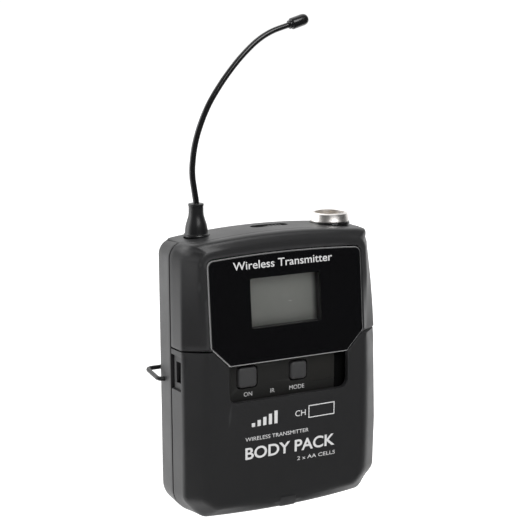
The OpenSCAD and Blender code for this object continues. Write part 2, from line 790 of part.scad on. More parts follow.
module contact_springs() {
    wall_x = tray_half_w - tray_t;
    gap = wall_x - cell_l / 2 + cell_shift - 0.3;
    color([0.8, 0.8, 0.82]) {
        translate([-wall_x + 0.25, cell_y, cell_high_z]) coil_spring(3.6, gap - 0.25, 3);
        translate([wall_x - 0.25, cell_y, cell_low_z]) mirror([1, 0, 0])
            coil_spring(3.6, gap - 0.25, 3);
    }
}

module contact_plates() {
    wall_x = tray_half_w - tray_t;
    color([0.8, 0.8, 0.82]) {
        box([wall_x - contact_t, cell_y - 3.5, cell_high_z - 4],
            [wall_x, cell_y + 3.5, cell_high_z + 4]);
        box([-wall_x, cell_y - 3.5, cell_low_z - 4],
            [-wall_x + contact_t, cell_y + 3.5, cell_low_z + 4]);
    }
}

module supply_pins() {
    color([0.85, 0.75, 0.45]) for (x = [-20, 20])
        box([x - 0.5, board_y + board_t, tray_top_z],
            [x + 0.5, board_y + board_t + 0.6, board_low_z + 5]);
}

// ---------- belt clip ----------

clip_x = half_w + clip_out;
clip_leg_x = 13;
clip_tail_z = 9;
clip_rise = 1.2;
clip_bend_r = 1.5;
clip_gap_y = rear_y + belt_gap + wire_d / 2;
clip_touch_y = rear_y + wire_d / 2 + 0.3;
clip_pin_end = clip_x - clip_bend_r - 0.1;
left = [-1, 0, 0];
down = [0, 0, -1];
backward = unit([0, clip_gap_y - clip_y, clip_rise]);
flare = unit([0, 1, -2.6]);
flare_start = [clip_leg_x, clip_touch_y + 1.2, clip_tail_z + 3.4];
clip_foot = flare_start + 3.6 * flare;
entry = [clip_leg_x, (clip_gap_y + clip_touch_y) / 2, clip_tail_z + 11];

// quarter turn at corner p, from heading a into heading b
function turn(p, a, b, r) = [for (t = [0 : 18 : 90])
    p - r * a + r * (sin(t) * a + (1 - cos(t)) * b)];
// soft bend from p to r, drawn towards q
function ease(p, q, r) = [for (t = [0 : 0.25 : 1])
    (1 - t) * (1 - t) * p + 2 * t * (1 - t) * q + t * t * r];

// one side of the wire, from its pivot pin to the middle of the bottom bow
clip_half = concat([[clip_pin_end - 0.8, clip_y, clip_z]],
    turn([clip_x, clip_y, clip_z], [1, 0, 0], backward, clip_bend_r),
    turn([clip_x, clip_gap_y, clip_z + clip_rise], backward, left, clip_bend_r),
    turn([clip_leg_x, clip_gap_y, clip_z + clip_rise], left, down, 2),
    ease([clip_leg_x, clip_gap_y, clip_tail_z + 17], [clip_leg_x, clip_gap_y, clip_tail_z + 13.5],
        entry),
    ease(entry + 0.5 * unit([0, -2, -3]), [clip_leg_x, clip_touch_y, clip_tail_z + 6.5],
        flare_start),
    turn(clip_foot, flare, left, 3),
    [[0, clip_foot[1], clip_foot[2]]]);
clip_other = [for (i = [len(clip_half) - 2 : -1 : 0])
    [-clip_half[i][0], clip_half[i][1], clip_half[i][2]]];
clip_path = concat(clip_half, clip_other);

module belt_clip() {
    color([0.12, 0.12, 0.13]) {
        swept_tube(clip_path, [for (p = clip_path) wire_d / 2 - 0.05], 10, unit([0.31, 0.87, 0.4]));
        translate([0, clip_y, clip_z]) along_x(half_w - clip_pin_in, clip_pin_end, wire_d / 2);
        translate([0, clip_y, clip_z]) along_x(-clip_pin_end, clip_pin_in - half_w, wire_d / 2);
    }
}

rear_shell();
front_shell();
top_plate();
battery_door();
hinge_pins();
latch_left();
latch_right();
latch_springs();
case_screws();
display_lens();
display_glass();
display_frame();
key_panel();
on_key();
mode_key();
key_switches();
ir_window();
ir_sensor();
main_board();
rf_shield();
board_chips();
board_screws();
mute_slider();
mute_switch();
socket_shell();
socket_insert();
socket_pins();
socket_collar();
ring_nut();
antenna_boot();
antenna_whip();
antenna_tip();
antenna_mount();
battery_tray();
battery_upper();
battery_lower();
contact_springs();
contact_plates();
supply_pins();
belt_clip();
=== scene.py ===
"""Looks of a belt-worn wireless transmitter pack, built around its packed model.

Lengths in the shape functions are millimetres; put() turns them into metres.
"""

import math

import bpy
import numpy as np
from mathutils import Matrix, Vector


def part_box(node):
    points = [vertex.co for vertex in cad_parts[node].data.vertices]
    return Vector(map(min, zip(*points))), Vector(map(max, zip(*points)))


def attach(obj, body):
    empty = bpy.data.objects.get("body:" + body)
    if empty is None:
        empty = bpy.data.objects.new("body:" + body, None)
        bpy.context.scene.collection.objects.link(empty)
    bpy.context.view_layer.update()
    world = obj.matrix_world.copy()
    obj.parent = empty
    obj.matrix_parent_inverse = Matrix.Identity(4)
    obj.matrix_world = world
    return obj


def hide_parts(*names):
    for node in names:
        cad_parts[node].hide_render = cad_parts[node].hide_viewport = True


bl_info = {
    "name": "Transmitter pack",
    "version": (1, 0, 0),
    "blender": (4, 5, 0),
    "location": "3D View > Sidebar > Pack",
    "description": "Builds the shells, fittings, print and studio of a belt-worn transmitter pack",
    "category": "Add Mesh",
}

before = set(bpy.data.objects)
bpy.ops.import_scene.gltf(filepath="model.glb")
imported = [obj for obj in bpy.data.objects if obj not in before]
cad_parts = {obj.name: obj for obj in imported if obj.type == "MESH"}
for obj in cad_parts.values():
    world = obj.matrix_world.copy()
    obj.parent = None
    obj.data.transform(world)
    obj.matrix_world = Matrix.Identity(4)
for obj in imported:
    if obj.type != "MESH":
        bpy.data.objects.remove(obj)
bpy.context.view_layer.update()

MM = 0.001


def span(node):
    """Lowest and highest corners of a packed node, in millimetres."""
    low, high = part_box(node)
    return np.array(low) / MM, np.array(high) / MM


REAR = span("rear_shell")
UPPER = span("front_shell")
DOOR = span("battery_door")
PLATE = span("top_plate")
LENS = span("display_lens")
GLASS = span("display_glass")
PANEL = span("key_panel")
NUT = span("ring_nut")
BARREL = span("socket_shell")
COLLAR = span("socket_collar")
BOOT = span("antenna_boot")
WHIP = span("antenna_whip")
CLIP = span("belt_clip")

HALF_W = REAR[1][0]
BACK_Y = REAR[1][1]
TOP_Z = PLATE[1][2]
FRONT_Y = DOOR[0][1]
SEAM_Y = UPPER[1][1]
SPLIT_Z = UPPER[0][2]
GAP = SPLIT_Z - DOOR[1][2]
LENS_Z = LENS[0][2]
LENS_HALF_W = LENS[1][0]
PLATE_HALF_W = PLATE[1][0]
PLATE_FRONT_Y = PLATE[0][1]
SOCKET_X = (NUT[0][0] + NUT[1][0]) / 2
FITTING_Y = (NUT[0][1] + NUT[1][1]) / 2
ANTENNA_X = (BOOT[0][0] + BOOT[1][0]) / 2
LEAN = math.radians(4.5)
WALL = 1.6
# the front mouldings end here, short of the seam round the pack's sides, and the rear one as far behind it
SEAM_FRONT = SEAM_Y - 0.26
SEAM_BACK = SEAM_Y + GAP + 0.28
# half of the gap that shows between the upper shell and the door
SPLIT_GAP = 0.2
# clearance of a hole round what passes through it
FIT = 0.12
# how much narrower the top plate is at its front than at the seam
PLATE_TAPER = 3.2
# radius of the boot's foot
BOOT_FOOT = 0.885 * (BOOT[1][0] - ANTENNA_X)
SCREW_HOLE_R = 2.2
PIVOT_R = 0.76
HINGE_X = 16.0
HINGE_R = 1.35
WIRE_D = 1.4
# clear below the outer face of the open door, which swings down to 9.3 below the underside
FLOOR_Z = FRONT_Y - 1.0


# ---------- sizes and colours a user would change ----------


class PackSizes(bpy.types.PropertyGroup):
    """Sizes of the visible mouldings, in metres."""

    low_corner: bpy.props.FloatProperty(
        name="Bottom corners", description="Radius of the housing's bottom corners",
        default=8 * MM, unit="LENGTH")
    top_corner: bpy.props.FloatProperty(
        name="Top corners", description="Radius of the housing's top corners",
        default=5 * MM, unit="LENGTH")
    crown: bpy.props.FloatProperty(
        name="Crown", description="Rise of the arched top", default=1.8 * MM, unit="LENGTH")
    lip: bpy.props.FloatProperty(
        name="Lip", description="Radius of the edges along the seams", default=0.25 * MM, unit="LENGTH")
    back_edge: bpy.props.FloatProperty(
        name="Back edge", description="Radius of the edge round the back", default=1.6 * MM, unit="LENGTH")
    title_height: bpy.props.FloatProperty(
        name="Title height", description="Height of the capitals over the display",
        default=2.45 * MM, unit="LENGTH")
    label_height: bpy.props.FloatProperty(
        name="Label height", description="Height of the capitals under the keys",
        default=1.35 * MM, unit="LENGTH")


class PackColours(bpy.types.PropertyGroup):
    """Colours of the visible finishes."""

    case: bpy.props.FloatVectorProperty(
        name="Housing", description="Moulded housing", default=(0.020, 0.020, 0.021), subtype="COLOR")
    key: bpy.props.FloatVectorProperty(
        name="Keys", description="Power and mode keys", default=(0.044, 0.044, 0.045), subtype="COLOR")
    display: bpy.props.FloatVectorProperty(
        name="Display", description="Resting liquid crystal cell", default=(0.335, 0.345, 0.32),
        subtype="COLOR")
    ink: bpy.props.FloatVectorProperty(
        name="Print", description="White print", default=(0.62, 0.62, 0.62), subtype="COLOR")


# ---------- meshes ----------


def put(name, points, faces, smooth=True):
    """A new object from points in millimetres (n x 3) and faces, placed by its vertices."""
    mesh = bpy.data.meshes.new(name)
    mesh.from_pydata((np.asarray(points, float) * MM).tolist(), [], [list(map(int, f)) for f in faces])
    mesh.update()
    mesh.polygons.foreach_set("use_smooth", [smooth] * len(mesh.polygons))
    piece = bpy.data.objects.new(name, mesh)
    bpy.context.scene.collection.objects.link(piece)
    return piece


def quads(rows, cols, wrap_rows=False, wrap_cols=False):
    """Corners of the quads between neighbouring rows and columns of a grid."""
    r = np.arange(rows if wrap_rows else rows - 1)
    c = np.arange(cols if wrap_cols else cols - 1)
    i, j = np.meshgrid(r, c, indexing="ij")
    down, right = (i + 1) % rows, (j + 1) % cols
    corners = [i * cols + j, i * cols + right, down * cols + right, down * cols + j]
    return np.stack(corners, -1).reshape(-1, 4)


def outward(piece, centre=None):
    """Turns the faces round if they point, on the whole, towards the centre."""
    mesh = piece.data
    normals = np.empty(len(mesh.polygons) * 3)
    centres = np.empty(len(mesh.polygons) * 3)
    areas = np.empty(len(mesh.polygons))
    mesh.polygons.foreach_get("normal", normals)
    mesh.polygons.foreach_get("center", centres)
    mesh.polygons.foreach_get("area", areas)
    normals, centres = normals.reshape(-1, 3), centres.reshape(-1, 3)
    middle = centres.mean(0) if centre is None else np.asarray(centre) * MM
    if ((normals * (centres - middle)).sum(1) * areas).sum() < 0:
        mesh.flip_normals()
    return piece


def face_front(piece):
    """Turns flat print round if it faces away from the front."""
    normals = np.empty(len(piece.data.polygons) * 3)
    piece.data.polygons.foreach_get("normal", normals)
    if normals.reshape(-1, 3)[:, 1].sum() > 0:
        piece.data.flip_normals()
    return piece


def closed(piece):
    """Turns the faces of a closed mesh outwards, by the sign of its volume."""
    mesh = piece.data
    mesh.calc_loop_triangles()
    co = np.empty(len(mesh.vertices) * 3)
    mesh.vertices.foreach_get("co", co)
    tri = np.empty(len(mesh.loop_triangles) * 3, int)
    mesh.loop_triangles.foreach_get("vertices", tri)
    a, b, c = co.reshape(-1, 3)[tri].reshape(-1, 3, 3).transpose(1, 0, 2)
    if np.einsum("ij,ij->i", a, np.cross(b, c)).sum() < 0:
        mesh.flip_normals()
    return piece


def ring_stack(name, rings, cap=True):
    """Closed rings of equal length joined one to the next, with flat ends: a profile round an outline."""
    rings = np.asarray(rings, float)
    rows, cols = rings.shape[:2]
    faces = quads(rows, cols, wrap_cols=True).tolist()
    if cap:
        faces.append(list(range(cols)))
        faces.append(list(range((rows - 1) * cols, rows * cols))[::-1])
    return closed(put(name, rings.reshape(-1, 3), faces))


def torus_stack(name, rings):
    """Closed rings joined one to the next and the last to the first."""
    rings = np.asarray(rings, float)
    rows, cols = rings.shape[:2]
    return closed(put(name, rings.reshape(-1, 3), quads(rows, cols, True, True)))


def turned_rings(profile, centre, along, sides):
    """Profile of (radius, height) turned round an axis through the centre, as rings of points."""
    profile = np.asarray(profile, float)
    angle = np.linspace(0, 2 * np.pi, sides, endpoint=False)
    r, h = profile[:, :1], profile[:, 1:]
    flat = np.stack([r * np.cos(angle), r * np.sin(angle), h + 0 * angle], -1)
    order = {"x": [2, 0, 1], "y": [0, 2, 1], "z": [0, 1, 2]}[along]
    return flat[..., order] + np.asarray(centre, float)


def lathe(name, profile, centre, along="z", sides=64):
    """A turned solid whose profile begins and ends on the axis, at poles."""
    return ring_stack(name, turned_rings(profile, centre, along, sides))


def turned(name, profile, centre, along="z", sides=96, sharp=32.0):
    """A turned ring: a closed profile that stays clear of the axis."""
    piece = torus_stack(name, turned_rings(profile, centre, along, sides))
    piece.data.set_sharp_from_angle(angle=math.radians(sharp))
    return piece


def swept(name, path, radius, sides=16, hint=(0, 1, 0)):
    """Circles of the given radii stood square to a path, with frames carried along by projection."""
    path = np.asarray(path, float)
    radius = np.broadcast_to(np.asarray(radius, float), len(path))
    heading = np.gradient(path, axis=0)
    heading /= np.linalg.norm(heading, axis=1, keepdims=True)
    side = np.empty_like(path)
    last = np.asarray(hint, float)
    for i, h in enumerate(heading):
        last = last - h * (last @ h)
        last = last / np.linalg.norm(last)
        side[i] = last
    third = np.cross(heading, side)
    angle = np.linspace(0, 2 * np.pi, sides, endpoint=False)
    rings = path[:, None] + radius[:, None, None] * (
        np.cos(angle)[None, :, None] * side[:, None] + np.sin(angle)[None, :, None] * third[:, None])
    return ring_stack(name, rings)


def curve_through(points, steps):
    """Smooth curve through hand-set points, by uniform cubic interpolation with steps points a stretch."""
    p = np.asarray(points, float)
    ends = np.vstack([2 * p[0] - p[1], p, 2 * p[-1] - p[-2]])
    t = np.linspace(0, 1, steps, endpoint=False)[:, None]
    parts = [
        0.5 * (2 * b + (c - a) * t + (2 * a - 5 * b + 4 * c - d) * t**2 + (3 * b - a - 3 * c + d) * t**3)
        for a, b, c, d in zip(ends[:-3], ends[1:-2], ends[2:-1], ends[3:])]
    return np.vstack(parts + [p[-1:]])


def rounded_rectangle(half_w, half_h, radius, inset=0.0, steps=8):
    """Outline of a rectangle with round corners, moved inwards by inset, as (n x 2)."""
    angle = np.linspace(0, np.pi / 2, steps)
    r = max(radius - inset, 0.01)
    corner = np.stack([np.cos(angle), np.sin(angle)], -1) * r
    parts = []
    for turn, (sx, sy) in enumerate(((1, 1), (-1, 1), (-1, -1), (1, -1))):
        c, s = (1, 0, -1, 0)[turn], (0, 1, 0, -1)[turn]
        spun = corner @ np.array([[c, s], [-s, c]])
        parts.append(spun + [sx * (half_w - inset - r), sy * (half_h - inset - r)])
    return np.vstack(parts)


def fillet(radius, steps=4):
    """Inset and depth of points round a convex edge, from the face to the side."""
    t = np.linspace(0, np.pi / 2, steps)
    return np.stack([radius * (1 - np.sin(t)), radius * (1 - np.cos(t))], -1)


def block(name, centre, half_w, half_h, radius, steps):
    """Rounded block facing -Y: steps are (inset, y) from its face to its back, round one outline."""
    x, z = centre
    rings = [np.column_stack([o[:, 0] + x, np.full(len(o), y), o[:, 1] + z])
             for o, y in ((rounded_rectangle(half_w, half_h, radius, i), y) for i, y in steps)]
    piece = ring_stack(name, rings)
    piece.data.set_sharp_from_angle(angle=math.radians(50))
    return piece


def cutter(points_low, points_high):
    """A plain box that is taken out of a piece and then deleted."""
    low, high = np.asarray(points_low, float), np.asarray(points_high, float)
    corner = np.array([[x, y, z] for x in (0, 1) for y in (0, 1) for z in (0, 1)])
    faces = [[0, 1, 3, 2], [4, 6, 7, 5], [0, 4, 5, 1], [2, 3, 7, 6], [0, 2, 6, 4], [1, 5, 7, 3]]
    return closed(put("cut", low + corner * (high - low), faces, False))


def drill(centre, radius, reach, along="z", sides=64):
    """A round cutter that reaches as far to both sides of the centre."""
    return lathe("cut", [(0, -reach), (radius, -reach), (radius, reach), (0, reach)], centre, along, sides)


def stadium_cutter(centre, half_l, half_w, low, high):
    """An upright slot with round ends, for taking out of the top plate."""
    o = rounded_rectangle(half_l, half_w, half_w - 0.01)
    return ring_stack("cut", [np.column_stack([o + centre, np.full(len(o), z)]) for z in (low, high)])


def finish_mesh(piece, sharp=35.0):
    """Replaces the mesh by its modified one and marks the edges that stay crisp."""
    graph = bpy.context.evaluated_depsgraph_get()
    mesh = bpy.data.meshes.new_from_object(piece.evaluated_get(graph))
    piece.modifiers.clear()
    piece.data = mesh
    mesh.polygons.foreach_set("use_smooth", [True] * len(mesh.polygons))
    mesh.set_sharp_from_angle(angle=math.radians(sharp))
    return piece


def carve(piece, cutters, sharp=35.0):
    """Takes the cutters out of a closed piece, one after another."""
    for tool in cutters:
        step = piece.modifiers.new("carve", "BOOLEAN")
        step.operation = "DIFFERENCE"
        step.solver = "EXACT"
        step.object = tool
    finish_mesh(piece, sharp)
    for tool in cutters:
        bpy.data.objects.remove(tool)
    return piece


def thicken(piece, wall, lip):
    """Gives a skin its wall on the inner side and rounds the rims."""
    solid = piece.modifiers.new("wall", "SOLIDIFY")
    solid.thickness = wall * MM
    solid.offset = -1
    solid.use_even_offset = False
    round_off = piece.modifiers.new("lip", "BEVEL")
    round_off.width = lip
    round_off.segments = 3
    round_off.limit_method = "ANGLE"
    round_off.angle_limit = math.radians(55)
    round_off.harden_normals = False
    return finish_mesh(piece, 50.0)


# ---------- form of the housing ----------


def top_at(x):
    """Height of the arched top over the point x."""
    crown = sizes().crown / MM
    return TOP_Z - crown * (x / (HALF_W - sizes().top_corner / MM)) ** 2


def half_outline(inset=0.0, n=(14, 12, 30, 12, 22)):
    """Right half of the housing seen from the front, bottom middle to top middle, moved in by inset.

    Straight bottom, round corner, straight side, smaller round corner, shallow arch.
    """
    low_r, top_r = sizes().low_corner / MM, sizes().top_corner / MM
    end = arch_angle()
    corner_z = corner_centre_z()
    low_x, top_x = HALF_W - low_r, HALF_W - top_r
    low = np.radians(np.linspace(-90, 0, n[1]))
    high = np.linspace(0, end, n[3])
    x_arch = np.linspace(top_x + top_r * math.cos(end), 0, n[4])
    return np.vstack([
        np.column_stack([np.linspace(0, low_x, n[0]), np.full(n[0], inset)])[:-1],
        np.column_stack([low_x + (low_r - inset) * np.cos(low), low_r + (low_r - inset) * np.sin(low)]),
        np.column_stack([np.full(n[2], HALF_W - inset), np.linspace(low_r, corner_z, n[2])])[1:-1],
        np.column_stack([top_x + (top_r - inset) * np.cos(high),
                         corner_z + (top_r - inset) * np.sin(high)]),
        np.column_stack([x_arch, top_at(x_arch) - inset])[1:],
    ])


def arch_angle():
    """Angle at which the top corner's arc runs into the arch, where their slopes agree."""
    return math.radians(82.7)


def corner_centre_z():
    """Height of the centre of the top corner's arc, so that it meets the arch."""
    r = sizes().top_corner / MM
    return top_at(HALF_W - r + r * math.cos(arch_angle())) - r * math.sin(arch_angle())


def outline(inset=0.0):
    """Whole outline of the housing, once round."""
    half = half_outline(inset)
    return np.vstack([half, (half * [-1, 1])[-2:0:-1]])


def front_at(x, z):
    """How far forward the front face lies: a shallow bow up its height and a slight one across."""
    bow_z = 0.49 * TOP_Z
    radius = np.where(z > bow_z, 254.0, 600.0)
    return FRONT_Y + (z - bow_z) ** 2 / (2 * radius) + 0.3 * (x / 27) ** 2


def lens_at(z):
    """Front of the leaning lens at height z."""
    return FRONT_Y + (z - LENS_Z) * math.tan(LEAN)


def blend(a, b, t):
    """Straight mix of two arrays of points."""
    return a + (b - a) * t


def apart(a, b):
    """Distance between points of two lists, as a column."""
    return np.linalg.norm(a - b, axis=1)[:, None]


def bend(a, corner, b, length_a, length_b, steps):
    """Soft corner: a curve from length_a before the corner to length_b after it, drawn towards it."""
    to_a = a - corner
    to_b = b - corner
    near = corner + to_a / np.linalg.norm(to_a, axis=-1, keepdims=True) * length_a
    far = corner + to_b / np.linalg.norm(to_b, axis=-1, keepdims=True) * length_b
    t = np.linspace(0, 1, steps)[:, None, None]
    return (1 - t) ** 2 * near + 2 * t * (1 - t) * corner + t**2 * far


def smooth_step(t):
    """Eases from 0 to 1."""
    t = np.clip(t, 0, 1)
    return t * t * (3 - 2 * t)


def skin(columns):
    """Points and faces of an open sheet, its right half (rows x stations x 3) with the left mirrored on."""
    left = columns[:, ::-1] * [-1, 1, 1]
    both = np.concatenate([left, columns[:, 1:]], axis=1)
    return both.reshape(-1, 3), quads(*both.shape[:2])


# ---------- materials ----------


def sizes():
    """The scene's pack sizes."""
    return bpy.context.scene.pack_sizes


def colours():
    """The scene's pack colours."""
    return bpy.context.scene.pack_colours


def add_node(tree, kind, inputs=None, **settings):
    """A shader node with its settings, each input given a value or linked to another node's socket."""
    made = tree.nodes.new(f"ShaderNode{kind}")
    for key, value in settings.items():
        setattr(made, key, value)
    for key, value in (inputs or {}).items():
        if isinstance(value, bpy.types.NodeSocket):
            tree.links.new(value, made.inputs[key])
        else:
            made.inputs[key].default_value = value
    return made


def place_of(tree):
    """The point on the object, in metres."""
    return add_node(tree, "TexCoord").outputs["Object"]


def group_tree(name, inputs, outputs):
    """An empty shader group with the named sockets: (name, socket type, default)."""
    tree = bpy.data.node_groups.new(name, "ShaderNodeTree")
    for label, kind, value in inputs:
        tree.interface.new_socket(label, in_out="INPUT", socket_type=kind).default_value = value
    for label, kind in outputs:
        tree.interface.new_socket(label, in_out="OUTPUT", socket_type=kind)
    return tree, tree.nodes.new("NodeGroupInput").outputs, tree.nodes.new("NodeGroupOutput").inputs


def grain_group():
    """Moulded grain: fine rounded pits over a slow swell, as a height and a soft mask."""
    if "Moulded grain" in bpy.data.node_groups:
        return bpy.data.node_groups["Moulded grain"]
    tree, given, out = group_tree(
        "Moulded grain",
        [("Scale", "NodeSocketFloat", 3200.0), ("Swell", "NodeSocketFloat", 0.3)],
        [("Height", "NodeSocketFloat"), ("Mask", "NodeSocketFloat")])
    place = place_of(tree)
    fine = add_node(tree, "TexVoronoi", feature="SMOOTH_F1")
    fine.inputs["Smoothness"].default_value = 0.6
    tree.links.new(place, fine.inputs["Vector"])
    tree.links.new(given["Scale"], fine.inputs["Scale"])
    slow = add_node(tree, "TexNoise", {"Scale": 90.0, "Detail": 4.0, "Vector": place})
    height = add_node(tree, "Math", {0: slow.outputs["Fac"], 1: given["Swell"],
                                     2: fine.outputs["Distance"]}, operation="MULTIPLY_ADD")
    tree.links.new(height.outputs[0], out["Height"])
    tree.links.new(slow.outputs["Fac"], out["Mask"])
    return tree


def wear_group():
    """Edge wear: where the surface turns sharply outwards, a lighter tone broken up by noise."""
    if "Edge wear" in bpy.data.node_groups:
        return bpy.data.node_groups["Edge wear"]
    tree, given, out = group_tree(
        "Edge wear",
        [("Base", "NodeSocketColor", (0.02, 0.02, 0.02, 1)),
         ("Worn", "NodeSocketColor", (0.1, 0.1, 0.1, 1)),
         ("Amount", "NodeSocketFloat", 0.5)],
        [("Color", "NodeSocketColor"), ("Mask", "NodeSocketFloat")])
    form = add_node(tree, "NewGeometry")
    keep = add_node(tree, "MapRange", {"From Min": 0.52, "From Max": 0.62,
                                       "Value": form.outputs["Pointiness"]})
    noise = add_node(tree, "TexNoise", {"Scale": 420.0, "Detail": 5.0, "Vector": place_of(tree)})
    broken = add_node(tree, "Math", {0: keep.outputs["Result"], 1: noise.outputs["Fac"]},
                      operation="MULTIPLY")
    amount = add_node(tree, "Math", {0: broken.outputs[0], 1: given["Amount"]}, operation="MULTIPLY")
    mix = mixed(tree, amount.outputs[0], given["Base"], given["Worn"])
    tree.links.new(mix.outputs[MIXED], out["Color"])
    tree.links.new(amount.outputs[0], out["Mask"])
    return tree


# sockets of a colour mix: its two colours and its result
MIX_A, MIX_B, MIXED = 6, 7, 2


def mixed(tree, share, first, second):
    """A mix of two colours by a share from 0 to 1."""
    mix = add_node(tree, "Mix", data_type="RGBA")
    for socket, value in (("Factor", share), (MIX_A, first), (MIX_B, second)):
        if isinstance(value, bpy.types.NodeSocket):
            tree.links.new(value, mix.inputs[socket])
        else:
            mix.inputs[socket].default_value = value
    return mix


def over_base(material, share, second):
    """Mixes a second colour, or a socket, over the finish's own colour."""
    tree = material.node_tree
    base = tree.nodes["Principled BSDF"].inputs["Base Color"]
    mix = mixed(tree, share, base.links[0].from_socket, second)
    tree.links.new(mix.outputs[MIXED], base)


def finish_of(name, colour, rough, metal=0.0, grain=2600.0, depth=0.00001, rough_swing=0.08, wear=0.4,
              specular=0.5, alpha=1.0):
    """A procedural finish: worn colour, swinging roughness and moulded or rolled grain as a bump.

    Returns the material and whether it is new. Depth is the height of the grain in metres.
    """
    if name in bpy.data.materials:
        return bpy.data.materials[name], False
    material = bpy.data.materials.new(name)
    material.use_nodes = True
    tree = material.node_tree
    shader = tree.nodes["Principled BSDF"]
    shader.inputs["Metallic"].default_value = metal
    shader.inputs["Specular IOR Level"].default_value = specular
    shader.inputs["Alpha"].default_value = alpha
    pits = add_node(tree, "Group", node_tree=grain_group())
    pits.inputs["Scale"].default_value = grain
    worn = add_node(tree, "Group", node_tree=wear_group())
    worn.inputs["Base"].default_value = (*colour, 1)
    worn.inputs["Worn"].default_value = (*[min(1, c * 2.2 + 0.02) for c in colour], 1)
    worn.inputs["Amount"].default_value = wear
    swing = add_node(tree, "MapRange", {"From Min": 0.3, "From Max": 0.7, "To Min": rough - rough_swing / 2,
                                    "To Max": rough + rough_swing / 2, "Value": pits.outputs["Mask"]})
    bump = add_node(tree, "Bump", {"Distance": depth, "Strength": 0.6, "Height": pits.outputs["Height"]})
    for result, target in ((worn.outputs["Color"], "Base Color"), (swing.outputs["Result"], "Roughness"),
                           (bump.outputs["Normal"], "Normal")):
        tree.links.new(result, shader.inputs[target])
    return material, True


# name, colour or the pack colour it follows, roughness, and what differs from a plain moulding
FINISHES = {
    "case": ("Housing moulding", "case", 0.42, {"grain": 3600.0, "depth": 0.00003, "wear": 0.5}),
    "inner": ("Inner moulding", (0.014, 0.014, 0.015), 0.5, {"depth": 0.00002}),
    # near-black painted shade for the shaded right end of the key recess
    "deep": ("Painted shade black", (0.002, 0.002, 0.002), 0.7, {"specular": 0.1}),
    "field": ("Key field", (0.018, 0.018, 0.017), 0.36, {"grain": 3000.0}),
    "key": ("Key moulding", "key", 0.45, {"grain": 4200.0, "wear": 0.2}),
    "pane": ("Window pane", (0.02, 0.02, 0.02), 0.05,
             {"grain": 900.0, "depth": 0.000001, "rough_swing": 0.02, "wear": 0.0, "alpha": 0.22}),
    "ink": ("White print", "ink", 0.5, {"grain": 5200.0, "depth": 0.000004, "wear": 0.0}),
    "chrome": ("Bright plating", (0.90, 0.87, 0.84), 0.38,
               {"metal": 1.0, "grain": 1600.0, "depth": 0.000002, "rough_swing": 0.06, "wear": 0.0}),
    "steel": ("Spring steel", (0.56, 0.56, 0.57), 0.28,
              {"metal": 1.0, "grain": 2400.0, "depth": 0.000004, "wear": 0.0}),
    "tin": ("Tinned sheet", (0.6, 0.6, 0.6), 0.35,
            {"metal": 1.0, "grain": 1500.0, "depth": 0.000006, "wear": 0.0}),
    "black_screw": ("Blackened steel", (0.08, 0.08, 0.085), 0.35, {"metal": 1.0, "depth": 0.000004}),
    "gold": ("Gold plating", (0.83, 0.62, 0.27), 0.22,
             {"metal": 1.0, "grain": 2400.0, "depth": 0.000003, "wear": 0.0}),
    "rubber": ("Boot rubber", (0.013, 0.013, 0.014), 0.33, {"depth": 0.000012}),
    "jacket": ("Glossy jacket", (0.008, 0.008, 0.0085), 0.2,
               {"grain": 1800.0, "depth": 0.000006, "wear": 0.1}),
    "insert": ("Brown insulator", (0.045, 0.018, 0.012), 0.45, {}),
    "infrared": ("Infrared window", (0.019, 0.0185, 0.017), 0.3,
                 {"grain": 900.0, "depth": 0.000001, "rough_swing": 0.03, "wear": 0.0, "specular": 0.4}),
    "wire": ("Coated wire", (0.016, 0.016, 0.017), 0.3, {"grain": 1400.0, "wear": 0.8}),
    "frame": ("White moulding", (0.7, 0.7, 0.68), 0.5, {}),
    "chip": ("Component package", (0.02, 0.02, 0.022), 0.55, {"grain": 5200.0}),
}


def finish(key):
    """The finish of that key in the table above."""
    name, colour, rough, rest = FINISHES[key]
    if isinstance(colour, str):
        colour = getattr(colours(), colour)
    return finish_of(name, colour, rough, **rest)[0]


def lens_finish():
    """Polished black lens whose cut edge shows the clear sheet under its black backing."""
    material, new = finish_of("Polished lens", (0.004, 0.004, 0.0045), 0.07, grain=900.0, depth=0.000001,
                              rough_swing=0.03, wear=0.0)
    if new:
        # painted highlight: the chamfered rim, marked in the mesh, is mixed to light grey
        edge = add_node(material.node_tree, "Attribute", attribute_name="rim_highlight")
        over_base(material, edge.outputs["Fac"], (0.42, 0.42, 0.42, 1))
    return material


def banded(name, base, band, low, high, axis, rough, metal=0.0, soft=0.0002):
    """A finish with a band of a second colour between two places along an axis, in metres."""
    material, new = finish_of(name, base, rough, metal=metal, grain=1500.0, depth=0.000004, wear=0.0)
    if new:
        tree = material.node_tree
        along = add_node(tree, "SeparateXYZ", {0: place_of(tree)}).outputs[axis]
        rise = add_node(tree, "MapRange", {"From Min": low, "From Max": low + soft, "Value": along})
        fall = add_node(tree, "MapRange", {"From Min": high + soft, "From Max": high, "Value": along})
        both = add_node(tree, "Math", {0: rise.outputs[0], 1: fall.outputs[0]}, operation="MULTIPLY")
        over_base(material, both.outputs[0], (*band, 1))
    return material


def display_finish():
    """Grey-green liquid crystal cell that falls off to dark along its right side."""
    # painted shade: from 4 mm inside the cell's right edge the colour is mixed to near black
    right = (GLASS[1][0] - 4.0) * MM
    return banded("Liquid crystal", tuple(colours().display), (0.018, 0.018, 0.02), right, 1.0, 0, 0.3,
                  soft=2.0 * MM)


def board_finish():
    """Green solder mask with paler tracks."""
    mask = (0.012, 0.09, 0.035)
    material, new = finish_of("Solder mask", mask, 0.3, grain=1200.0, depth=0.000006, wear=0.0)
    if new:
        tree = material.node_tree
        turn = add_node(tree, "Mapping", {"Rotation": (math.radians(90), 0, 0), "Vector": place_of(tree)})
        brick = add_node(tree, "TexBrick", {
            "Scale": 420.0, "Mortar Size": 0.03, "Color1": (*mask, 1), "Color2": (0.014, 0.11, 0.045, 1),
            "Mortar": (0.05, 0.24, 0.1, 1), "Vector": turn.outputs["Vector"]})
        tree.links.new(brick.outputs["Color"], tree.nodes["Principled BSDF"].inputs["Base Color"])
    return material


